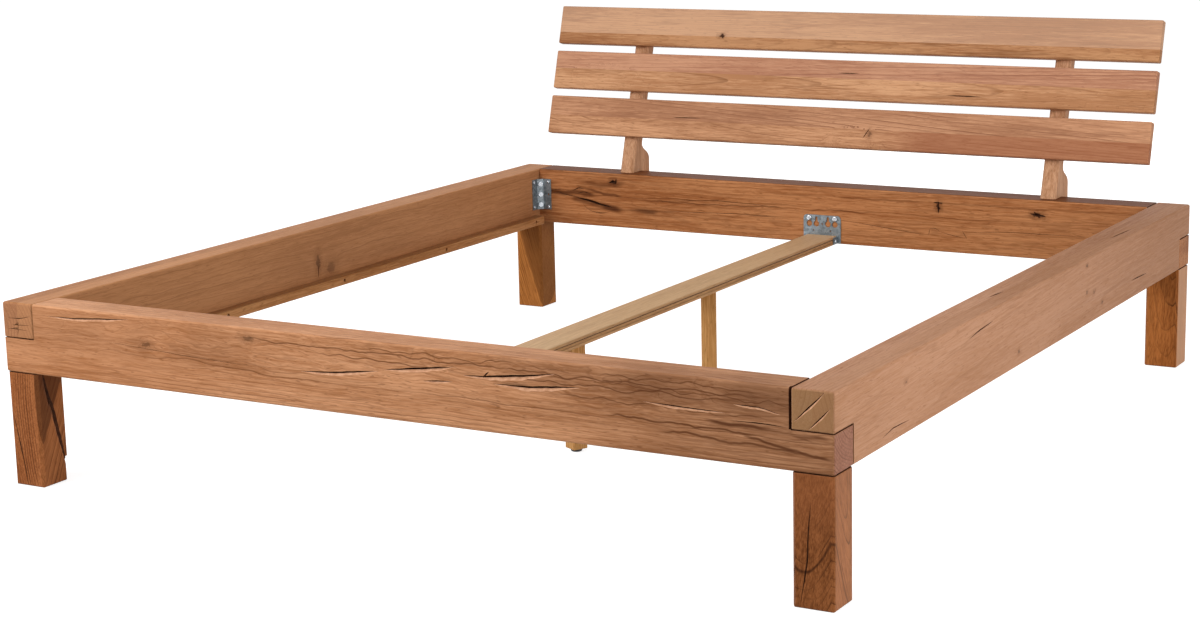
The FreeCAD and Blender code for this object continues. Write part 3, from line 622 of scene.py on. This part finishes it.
head_wood = timber_material(
    "head_beam_timber", (HEAD_LOW + HEAD_HIGH) / 2, "x",
    (tint(192, 130, 84), tint(152, 92, 52), tint(74, 36, 16)),
    {"Heart": (0, 0.05, -0.03), "Ring Gap": 0.007, "Wander": 0.02, "Seed": 11.0,
     "Rings": 0.7, "Veins": 0.25, "Blotch": 1.0},
    knots=(((-0.653, -BEAM_HALF_THICK, 0.053), (0.008, 0.006, 0.006), 0.9),
           ((0.336, -BEAM_HALF_THICK, 0.044), (0.006, 0.006, 0.009), 0.9),
           ((0.61, -BEAM_HALF_THICK, 0.038), (0.012, 0.006, 0.006), 0.9)),
    veins=(((-0.9, 0, 0.04), (-0.6, 0, 0.046), 0.03, 0.012, 0.7),
           ((-0.92, 0, 0.018), (-0.7, 0, 0.012), 0.02, 0.012, 0.75),
           ((-0.78, 0, 0.032), (-0.62, 0, 0.012), 0.03, 0.006, 0.7),
           ((-0.8, 0, 0.002), (-0.62, 0, -0.03), 0.01, 0.014, 0.6),
           ((-0.7, 0, -0.02), (-0.5, 0, -0.028), 0.01, 0.012, 0.75),
           ((-0.6, 0, 0.004), (0.2, 0, 0.016), 0.02, 0.003, 0.6),
           ((-0.2, 0, 0.05), (0.9, 0, 0.055), 0.02, 0.004, 0.35)),
    # The top past the seam is painted dark: painted shade.
    strips={"seam": BEAM_HALF_HIGH - HEAD_TOP_ROUND, "colour": tint(76, 32, 4), "share": 0.8})
checked_timber("head_beam", HEAD_CHECKS, head_wood, lap_joints(HEAD_LOW, HEAD_HIGH))


# Side beams: two boards of beech glued face to face, which keep the upper half at each corner, so
# that their end grain shows at the foot. The right one is paler, with pin knots and short checks.
SIDE_LOW, SIDE_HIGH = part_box("right_side_beam")
SIDE_MIDDLE_Y = (SIDE_LOW.y + SIDE_HIGH.y) / 2
OUT_RIGHT = (1, 0, 0)
UPWARDS = (0, 0, 1)


def on_left_side(along, z):
    return (-WELL_HALF, SIDE_MIDDLE_Y + along, z)


def on_right_side(along, z):
    return (SIDE_HIGH.x, SIDE_MIDDLE_Y + along, z)


def on_side_top(x, along):
    return (x, SIDE_MIDDLE_Y + along, SIDE_HIGH.z)


def on_side_end(x, z):
    return (x, SIDE_LOW.y, z)


PIN_KNOT_SIZE = (0.006, 0.004, 0.004)
PIN_KNOTS = ((0.285, 0.06), (0.288, 0.0), (0.338, -0.009), (0.398, -0.044), (-0.153, -0.047),
             (-0.768, 0.025))
SIDE_BEAMS = {
    "left": {
        "colours": (tint(190, 134, 90), tint(158, 106, 68), tint(104, 62, 37)),
        "board": tint(194, 138, 94),
        "figure": {"Heart": (0, -0.09, 0.02), "Wander": 0.02, "Seed": 23.0, "Streaks": 0.7, "Rings": 0.6,
                   "Blotch": 1.3, "Soak": 0.4, "End": tint(172, 120, 90)},
        "knots": (((-0.068, BEAM_HALF_THICK, -0.01), (0.009, 0.02, 0.02), 0.5),
                  ((-0.015, BEAM_HALF_THICK, -0.032), (0.018, 0.02, 0.016), 0.35)),
        "checks": [
            *check_rows(on_left_side, OUT_RIGHT, (
                (0.0045, 0.02, CRISP, (-0.067, 0.316), (-0.07, 0.284)),)),
            *check_rows(on_side_end, TOWARDS_FOOT, (
                (0.0022, 0.012, CRISP, (-0.97, 0.375), (-0.935, 0.376), (-0.906, 0.383)),
                (0.002, 0.012, CRISP, (-0.941, 0.369), (-0.944, 0.34)),
                (0.0018, 0.012, CRISP, (-0.96, 0.36), (-0.908, 0.363)),
                (0.0016, 0.012, CRISP, (-0.978, 0.352), (-0.914, 0.351))))]},
    "right": {
        "colours": (tint(190, 143, 113), tint(168, 119, 86), tint(110, 68, 42)),
        "board": tint(170, 122, 86),
        "figure": {"Heart": (0, -0.16, 0.12), "Tilt": (0, 0.01, 0.02), "Wander": 0.007, "Seed": 37.0,
                   "Rings": 0.45, "Streaks": 0.4, "Veins": 0.1, "Blotch": 1.1, "Soak": 0.65,
                   "End": tint(158, 118, 75), "Stain": 0.36, "Stain From": -0.5, "Stain To": 1.1},
        "knots": [((along, BEAM_HALF_THICK, up), PIN_KNOT_SIZE, 0.5) for along, up in PIN_KNOTS],
        "checks": [
            *check_rows(on_right_side, OUT_RIGHT, (
                (0.004, 0.02, CRISP, (-0.445, 0.372), (-0.385, 0.379), (-0.31, 0.383)),
                (0.004, 0.02, CRISP, (0.615, 0.299), (0.735, 0.296)),
                (0.003, 0.02, CRISP, (-0.88, 0.274), (-0.83, 0.281), (-0.75, 0.279)))),
            *check_rows(on_side_top, UPWARDS, (
                (0.005, 0.02, CRISP, (0.938, -0.21), (0.944, -0.14)),
                (0.005, 0.02, CRISP, (0.952, 0.55), (0.96, 0.69)))),
            *check_rows(on_side_end, TOWARDS_FOOT, (
                (0.0036, 0.015, WORN, (0.9065, 0.348), (0.966, 0.406)),
                (0.0032, 0.015, WORN, (0.934, 0.3345), (0.978, 0.379))))]},
}
for side, beam in SIDE_BEAMS.items():
    node = side + "_side_beam"
    low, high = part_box(node)
    boards = {"axis": "Y", "seam": 0.0, "jump": (0.6, 0.3, 0.2), "colour": beam["board"], "share": 0.3}
    wood = timber_material(node + "_timber", (low + high) / 2, "y", beam["colours"],
                           {"Ring Gap": 0.009, **beam["figure"]}, knots=beam["knots"], strips=boards)
    checked_timber(node, beam["checks"], wood)


# Legs: four square posts of darker heartwood stood on end under the corners, each on one stud.
# The front ones are checked from top to bottom, and a thin shadow parts each from its beam.
FRONT_LEG_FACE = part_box("front_right_leg")[0].y
LEFT_LEG_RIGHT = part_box("front_left_leg")[1].x
LEFT_LEG_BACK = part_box("front_left_leg")[1].y


def on_leg_front(x, z):
    return (x, FRONT_LEG_FACE, z)


def on_left_leg_side(back, z):
    return (LEFT_LEG_RIGHT, LEFT_LEG_BACK - back, z)


# The splinter behind the left leg's crack has broken off near the floor
CHIP_BACK = 0.005
CHIP_FROM, CHIP_TO = -0.01, 0.055
CHIP_WIDTH, CHIP_DEPTH = 0.014, 0.025
# The right-hand face of each right leg is painted paler past this seam: painted light on the faces turned
# to the side lamp. The front right leg's upper front is also tinted paler, as tone of its wood.
LIT_FACE_FROM = 0.0405
LEGS = {
    "front_left": {
        "colours": (tint(186, 117, 70), tint(143, 83, 45), tint(56, 26, 13)),
        "figure": {"Heart": (0, 0.242, -0.074), "Tilt": (0, 0, 0.48), "Heart Edge": 0.21,
                   "Heart Line": 0.15, "Heart Shade": 0.6, "Seed": 41.0, "Veins": 0.2, "Blotch": 1.8},
        "checks": [
            *check_rows(on_leg_front, TOWARDS_FOOT, (
                (0.004, 0.015, CRISP, (-0.976, 0.166), (-0.963, 0.1), (-0.945, 0.006)),)),
            *check_rows(on_left_leg_side, OUT_RIGHT, (
                (0.013, 0.03, CRISP, (0.063, 0.25), (0.055, 0.21), (0.042, 0.166), (0.03, 0.115),
                 (0.017, 0.066), (0.01, 0.03)),
                (0.009, 0.02, CRISP, (0.066, 0.254), (0.05, 0.175))))],
        "chips": [(on_left_leg_side(CHIP_BACK, CHIP_FROM), on_left_leg_side(CHIP_BACK, CHIP_TO),
                   OUT_RIGHT, CHIP_WIDTH, CHIP_DEPTH, WOOD_SLOT)]},
    "front_right": {
        "colours": (tint(164, 101, 58), tint(112, 63, 30), tint(48, 21, 8)),
        "figure": {"Heart": (0, -0.012, 0.02), "Tilt": (0, 0.1, -0.27), "Heart Edge": 0.076,
                   "Heart Shade": 0.04, "Ring Gap": 0.0045, "Rings": 1.0, "Wander": 0.013, "Seed": 47.0,
                   "Veins": 0.2, "Blotch": 1.5},
        "painted_lit_face": {"axis": "Y", "seam": LIT_FACE_FROM, "colour": tint(188, 134, 100), "share": 0.25,
                    "low_end": (tint(184, 112, 70), 0.25, -0.04, 0.09)},
        "checks": check_rows(on_leg_front, TOWARDS_FOOT, (
            (0.004, 0.02, CRISP, (0.939, 0.203), (0.933, 0.15), (0.931, 0.093), (0.917, 0.006)),))},
    "rear_left": {
        "colours": (tint(206, 134, 70), tint(164, 100, 46), tint(76, 38, 16)),
        # The dark wedge down this leg is painted shadow, drawn with the heartwood's shade.
        "figure": {"Heart": (0, 0.204, -0.042), "Tilt": (0, -0.305, 0), "Heart Edge": 0.2,
                   "Heart Line": 0.1, "Heart Shade": 0.52, "Seed": 53.0, "Veins": 0.2, "Blotch": 0.8}},
    "rear_right": {
        "colours": (tint(174, 106, 54), tint(126, 70, 30), tint(56, 26, 10)),
        "figure": {"Heart": (0, 0.02, 0.06), "Tilt": (0, 0.1, -0.1), "Heart Edge": 0.03, "Seed": 61.0,
                   "Veins": 0.5, "Blotch": 1.8},
        "painted_lit_face": {"axis": "Y", "seam": LIT_FACE_FROM, "colour": tint(206, 158, 122), "share": 0.6}},
}
LEG_TOP_OPENING = 0.0028
LEG_TOP_DEPTH = 0.0045
LEG_EASE = 0.0065


def leg_top_lines(low, high):
    """The shadow gap round the top of a leg, where it meets the beam."""
    corners = [(low.x, low.y), (high.x, low.y), (high.x, high.y), (low.x, high.y)]
    outwards = ((0, -1, 0), (1, 0, 0), (0, 1, 0), (-1, 0, 0))
    lines = []
    for start, end, outward in zip(corners, corners[1:] + corners[:1], outwards):
        lines.append(((*start, high.z), (*end, high.z), outward, LEG_TOP_OPENING, LEG_TOP_DEPTH))
    return lines


def leg_edges(low, high):
    """Plane cuts that ease the four upright edges of a leg."""
    cuts = []
    for x, across in ((low.x, -1), (high.x, 1)):
        for y, along in ((low.y, -1), (high.y, 1)):
            outward = Vector((across, along, 0)).normalized()
            cuts.append(((x, y, low.z - PROUD), (x, y, high.z + PROUD), outward, 4 * LEG_EASE,
                         LEG_EASE / math.sqrt(2), WOOD_SLOT))
    return cuts


for corner, leg in LEGS.items():
    node = corner + "_leg"
    low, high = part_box(node)
    figure = {"Ring Gap": 0.007, "Wander": 0.02, "Rings": 0.9, "Streaks": 0.5, **leg["figure"]}
    wood = timber_material(node + "_timber", (low + high) / 2, "z", leg["colours"], figure,
                           strips=leg.get("painted_lit_face"))
    cuts = [*leg_edges(low, high), *leg_top_lines(low, high), *leg.get("chips", ())]
    checked_timber(node, leg.get("checks", ()), wood, cuts)


# Lap dowels: turned beech pegs, glued into the corner laps and out of sight once it is together.
# The dowels under the headboard posts are the same stock.
def dress(names, material):
    """Give CAD nodes that keep their own shape a finish."""
    for name in names:
        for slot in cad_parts[name].material_slots:
            slot.material = material


peg_wood = timber_material(
    "peg_timber", (0, 0, 0), "z", (tint(214, 172, 130), tint(190, 146, 105), tint(140, 98, 64)),
    {"Heart": (0, 0.1, 0.1), "Ring Gap": 0.004, "Wander": 0.02, "Seed": 71.0, "Rings": 0.3, "Blotch": 0.5})
dress(("lap_dowels", "post_dowels"), peg_wood)


# Corner brackets and keyhole plates: folded steel sheet, hot dipped in zinc, which has dried in
# grey spangles. They are screwed to the beams inside the corners and to the ends of the centre rail.
def make_spangle_group():
    """Zinc crystals: patches that each turn the light a little differently, with dull stains over them."""
    tree, given, result = new_group(
        "Spangle", {"Vector": ("Place",), "Float": ("Crystal", "Matt"), "Color": ("Bright", "Dull")},
        {"Color": ("Color",), "Float": ("Roughness", "Height")})
    cells = add(tree, "ShaderNodeTexVoronoi",
                {"Vector": given["Place"], "Scale": calc(tree, "DIVIDE", 1.0, given["Crystal"])}).outputs
    turn = add(tree, "ShaderNodeSeparateColor", {"Color": cells["Color"]}).outputs[0]
    stain = grainy(tree, given["Place"], 60.0, 60.0, 5.0, 3.0)
    shade = calc(tree, "MULTIPLY_ADD", turn, 0.5, calc(tree, "MULTIPLY", stain, 0.5))
    feed(tree, result, {"Color": blend(tree, shade, given["Bright"], given["Dull"]),
                        "Roughness": calc(tree, "MULTIPLY_ADD", turn, 0.2, given["Matt"]),
                        "Height": calc(tree, "MULTIPLY_ADD", cells["Distance"], 0.3, stain)})
    return tree


SPANGLE = make_spangle_group()


def zinc_material(name, crystal, matt, metallic, bright, dull):
    """Zinc on steel, in crystals of one size between a bright and a dull grey."""
    material, tree, shader = new_material(name)
    place = tree.nodes.new("ShaderNodeTexCoord").outputs["Object"]
    zinc_feeds = {"Place": place, "Crystal": crystal, "Matt": matt, "Bright": bright, "Dull": dull}
    zinc = add(tree, "ShaderNodeGroup", zinc_feeds, node_tree=SPANGLE).outputs
    bump = add(tree, "ShaderNodeBump", {"Strength": 0.2, "Distance": 0.0002, "Height": zinc["Height"]})
    feed(tree, shader, {"Base Color": zinc["Color"], "Roughness": zinc["Roughness"], "Metallic": metallic,
                        "Normal": bump.outputs["Normal"]})
    return material


sheet_zinc = zinc_material("zinc_sheet", 0.006, 0.34, 0.55, tint(160, 170, 176), tint(78, 88, 94))
dress(("front_left_bracket", "front_right_bracket", "rear_left_bracket", "rear_right_bracket",
       "front_rail_plate", "rear_rail_plate"), sheet_zinc)


# Bolts, screws, studs, washers and inserts: steel, brightly zinc plated. Only the heads in the
# corner brackets and on the keyhole plates show.
bright_zinc = zinc_material("zinc_fastener", 0.003, 0.16, 0.85, tint(222, 228, 234), tint(150, 158, 168))
dress(("front_corner_bolts", "rear_corner_bolts", "bracket_screws", "leg_studs", "left_ledger_screws",
       "right_ledger_screws", "front_rail_plate_screws", "rear_rail_plate_screws", "front_hook_screws",
       "rear_hook_screws", "front_foot_bolt", "rear_foot_bolt", "front_foot_insert", "rear_foot_insert",
       "post_bolts", "post_washers", "slat_screws"), bright_zinc)


# Ledgers: planed strips of beech, screwed along the inside of the side beams to carry the edges of
# the slatted base. Their tops are painted darker than their sides, as painted shadow of the side beams.
def planed_timber(node, grain, colours, figure, strips=None):
    """Timber for a piece that keeps its own shape."""
    low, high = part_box(node)
    figure = {"Rings": 0.35, "Blotch": 0.6, **figure}
    wood = timber_material(node + "_timber", (low + high) / 2, grain, colours, figure, strips=strips)
    dress((node,), wood)


LEDGER_COLOURS = (tint(196, 140, 90), tint(164, 108, 62), tint(92, 52, 26))
LEDGER_EASED = 0.0015
for side, seed in (("left", 83.0), ("right", 89.0)):
    low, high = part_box(side + "_ledger")
    # The top past the seam is painted dark: painted shadow.
    top = {"seam": (high.z - low.z) / 2 - LEDGER_EASED, "colour": tint(84, 44, 24), "share": 0.45}
    planed_timber(side + "_ledger", "y", LEDGER_COLOURS,
                  {"Heart": (0, 0.08, 0.05), "Ring Gap": 0.006, "Wander": 0.012, "Seed": seed}, top)


# Centre rail and its two feet: pale beech, the colour of softwood, grooved along the rail's edges.
# The rail hangs on keyhole plates, and the feet screw up and down under it.
RAIL_LOW, RAIL_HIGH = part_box("centre_rail")
RAIL_COLOURS = (tint(204, 160, 114), tint(175, 126, 82), tint(120, 76, 38))
RAIL_EASED = 0.0015
RAIL_LINE_WIDTH = 0.0014
RAIL_LINE_DEPTH = 0.003
# How far each line lies below the rail's top: the upper one in the painted shade of the check depths, the
# lower one in plain wood
RAIL_LINE_DROPS = ((0.008, DEPTH_SLOT), (0.015, WOOD_SLOT))
RAIL_LINES = []
for side, face in ((-1, RAIL_LOW.x), (1, RAIL_HIGH.x)):
    for drop, finish in RAIL_LINE_DROPS:
        line = [(face, end, RAIL_HIGH.z - drop) for end in (RAIL_LOW.y, RAIL_HIGH.y)]
        RAIL_LINES.append((*line, (side, 0, 0), RAIL_LINE_WIDTH, RAIL_LINE_DEPTH, finish))
rail_wood = timber_material(
    "centre_rail_timber", (RAIL_LOW + RAIL_HIGH) / 2, "y", RAIL_COLOURS,
    {"Heart": (0, 0.1, -0.1), "Ring Gap": 0.007, "Wander": 0.004, "Seed": 97.0, "Streaks": 0.5,
     "Rings": 0.35, "Blotch": 0.6},
    # The top past the seam is painted paler: a painted highlight.
    strips={"seam": (RAIL_HIGH.z - RAIL_LOW.z) / 2 - RAIL_EASED, "colour": tint(200, 174, 140),
            "share": 0.45})
checked_timber("centre_rail", (), rail_wood, RAIL_LINES, "centre_rail")
CENTRE_FOOT_COLOURS = (tint(223, 171, 110), tint(191, 136, 79), tint(120, 76, 36))
for end, seed in (("front", 101.0), ("rear", 103.0)):
    planed_timber(end + "_centre_foot", "z", CENTRE_FOOT_COLOURS,
                  {"Heart": (0, 0.06, 0.08), "Ring Gap": 0.006, "Wander": 0.01, "Seed": seed})


# Glides: moulded discs of black plastic, pinned under the centre feet so that they slide on the
# floor. Use has scuffed them grey in specks.
def plastic_material(name):
    material, tree, shader = new_material(name)
    place = tree.nodes.new("ShaderNodeTexCoord").outputs["Object"]
    scuff = grainy(tree, place, 300.0, 300.0, 2.0, 3.0)
    bump = add(tree, "ShaderNodeBump", {"Strength": 0.2, "Distance": 0.0003, "Height": scuff})
    feed(tree, shader, {
        "Base Color": blend(tree, step_up(tree, scuff, 0.5, 0.75), tint(34, 24, 19), tint(62, 52, 46)),
        "Roughness": calc(tree, "MULTIPLY_ADD", scuff, 0.3, 0.35), "Normal": bump.outputs["Normal"]})
    return material


dress(("front_foot_glide", "rear_foot_glide"), plastic_material("black_plastic"))


# Headboard posts: two shaped uprights, notched over the head beam and bolted behind it, with
# chamfered front edges and an ogee sawn on the back.
POST_COLOURS = (tint(208, 160, 124), tint(176, 126, 90), tint(118, 74, 44))
for side, seed in (("left", 107.0), ("right", 109.0)):
    planed_timber(side + "_headboard_post", "z", POST_COLOURS,
                  {"Heart": (0, 0.05, 0.1), "Ring Gap": 0.007, "Wander": 0.01, "Seed": seed, "Rings": 0.3})


# Headboard slats: three leaning boards, each glued up from two strips of pale beech, with eased
# edges. They are screwed from behind.
LEAN = math.radians(16.5)
SLAT_UP = Vector((0, math.sin(LEAN), math.cos(LEAN)))
SLAT_OUT = Vector((0, -math.cos(LEAN), math.sin(LEAN)))
SLAT_HALF_THICK = 0.012
SLAT_CHECK_DEPTH = 0.008
SLATS = {
    "top_slat": {
        "colours": (tint(192, 140, 98), tint(156, 103, 65), tint(102, 60, 32)),
        "figure": {"Heart": (0, 0.07, -0.03), "Tilt": (0, 0.03, 0), "Rings": 0.45, "Seed": 113.0},
        "strips": {"seam": -0.022, "jump": (0.4, 0.2, 0.5), "colour": tint(238, 199, 170), "share": 0.3},
        "knots": (((-0.36, -SLAT_HALF_THICK, -0.02), (0.007, 0.006, 0.005), 0.9),),
        "checks": ((0.006, (-0.368, -0.021), (-0.35, -0.02)),)},
    "middle_slat": {
        "colours": (tint(212, 160, 119), tint(178, 125, 86), tint(116, 70, 38)),
        "figure": {"Heart": (0, 0.055, -0.015), "Tilt": (0, 0.02, 0), "Rings": 0.9, "Seed": 127.0},
        "strips": {"seam": 0.004, "jump": (0.8, 0.3, 0.1), "colour": tint(178, 122, 112), "share": 0.3},
        "knots": (((-0.72, -SLAT_HALF_THICK, -0.014), (0.05, 0.05, 0.014), 0.0),
                  ((0.82, -SLAT_HALF_THICK, -0.034), (0.05, 0.04, 0.012), 0.0)),
        "checks": ((0.0035, (0.005, 0.018), (0.07, 0.019)), (0.004, (0.325, -0.031), (0.425, -0.031)))},
    "bottom_slat": {
        "colours": (tint(210, 156, 116), tint(172, 120, 84), tint(108, 62, 34)),
        "figure": {"Heart": (0, 0.06, 0.01), "Tilt": (0, -0.04, 0), "Rings": 0.9, "Seed": 131.0},
        "strips": {"seam": -0.002, "jump": (0.2, 0.6, 0.3), "colour": tint(174, 124, 100), "share": 0.25,
                   "low_end": (tint(146, 84, 56), 0.65, 0.12, 0.3)},
        "knots": (((0.118, -SLAT_HALF_THICK, -0.012), (0.006, 0.006, 0.009), 0.45),
                  ((0.075, -SLAT_HALF_THICK, -0.034), (0.04, 0.045, 0.016), 0.0)),
        "checks": ((0.0035, (-0.485, 0.006), (-0.395, 0.007)), (0.0035, (0.1, -0.026), (0.118, 0.003)),
                   (0.003, (0.115, -0.024), (0.135, 0.004)))},
}


def on_slat(middle, x, up):
    """A spot on a slat's face, so far along it and up it from its middle."""
    return middle + Vector((x, 0, 0)) + SLAT_UP * up + SLAT_OUT * SLAT_HALF_THICK


for node, board in SLATS.items():
    low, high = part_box(node)
    middle = (low + high) / 2
    figure = {"Ring Gap": 0.0055, "Wander": 0.006, "Streaks": 0.9, "Lines": 0.4, "Blotch": 2.4,
              **board["figure"]}
    wood = timber_material(node + "_timber", middle, "x", board["colours"], figure, knots=board["knots"],
                           lean=LEAN, strips=board["strips"])
    checks = []
    for opening, *spots in board["checks"]:
        path = [on_slat(middle, x, up) for x, up in spots]
        checks.append((path, SLAT_OUT, opening, SLAT_CHECK_DEPTH, CRISP))
    checked_timber(node, checks, wood)


# Studio: a wide pale floor under an even white surround. Large soft lamps stand at the front left,
# at the right and behind the head end, and one hangs above.
def seen_directly(tree):
    """One for what the camera sees, also in a shine or through glass, and nought for what only lights."""
    seen = tree.nodes.new("ShaderNodeLightPath").outputs
    return calc(tree, "MAXIMUM", seen["Is Camera Ray"],
                calc(tree, "MAXIMUM", seen["Is Glossy Ray"], seen["Is Transmission Ray"]))


WHITE = (1, 1, 1, 1)
FLOOR_REACH = 30.0
FLOOR_DROP = 0.0005
FLOOR_LIFT = 0.82
floor_mesh = bpy.data.meshes.new("floor")
floor_mesh.from_pydata(
    [(-FLOOR_REACH, -FLOOR_REACH, -FLOOR_DROP), (FLOOR_REACH, -FLOOR_REACH, -FLOOR_DROP),
     (FLOOR_REACH, FLOOR_REACH, -FLOOR_DROP), (-FLOOR_REACH, FLOOR_REACH, -FLOOR_DROP)], [], [(0, 1, 2, 3)])
floor = put_in_scene("floor", floor_mesh)
floor_material, tree, shader = new_material("pale_floor")
feed(tree, shader, {"Base Color": (0.5, 0.5, 0.5, 1), "Roughness": 0.9, "Specular IOR Level": 0.0,
                    "Emission Color": WHITE,
                    "Emission Strength": calc(tree, "MULTIPLY", seen_directly(tree), FLOOR_LIFT)})
floor_mesh.materials.append(floor_material)

SURROUND = 0.4
world = bpy.data.worlds.new("surround")
bpy.context.scene.world = world
world.use_nodes = True
tree = world.node_tree
strength = calc(tree, "MULTIPLY_ADD", seen_directly(tree), 1.0 - SURROUND, SURROUND)
feed(tree, tree.nodes["Background"], {"Color": WHITE, "Strength": strength})


def soft_lamp(name, place, aim, size, power):
    lamp = bpy.data.lights.new(name, "AREA")
    lamp.shape = "DISK"
    lamp.size = size
    lamp.energy = power
    holder = put_in_scene(name, lamp)
    holder.location = place
    holder.rotation_euler = (Vector(aim) - Vector(place)).to_track_quat("-Z", "Y").to_euler()
    return holder


soft_lamp("key", (-2.8, -4.6, 3.6), (0, 0, 0.3), 3.0, 238.0)
soft_lamp("side", (3.8, -0.6, 0.95), (0.9, 0.1, 0.25), 2.0, 66.0)
soft_lamp("overhead", (0.0, -0.6, 5.0), (0, 0, 0.3), 4.0, 36.0)
back_lamp = soft_lamp("back", (-0.6, 5.2, 1.6), (0, 0.8, 0.4), 3.0, 90.0)
# It lights the back of the headboard and leaves no glare on the beam tops
back_lamp.visible_glossy = False


# Camera: standing well back from the foot end, to the right of the bed and half a metre higher than
# the headboard. It looks down along the bed through a long lens.
CAMERA_PLACE = Vector((2.6669, -4.8703, 1.4188))
CAMERA_HEADING = math.radians(30.06)
CAMERA_PITCH = math.radians(-11.82)
CAMERA_ROLL = math.radians(-1.31)
CAMERA_LENS = 71.3
CAMERA_SENSOR = 36.0
lens = bpy.data.cameras.new("camera")
lens.lens = CAMERA_LENS
lens.sensor_width = CAMERA_SENSOR
camera = put_in_scene("camera", lens)
camera.matrix_world = (Matrix.Translation(CAMERA_PLACE) @ Matrix.Rotation(CAMERA_HEADING, 4, "Z")
                       @ Matrix.Rotation(math.pi / 2 + CAMERA_PITCH, 4, "X")
                       @ Matrix.Rotation(CAMERA_ROLL, 4, "Z"))
bpy.context.scene.camera = camera
bpy.context.scene.view_settings.view_transform = "Standard"
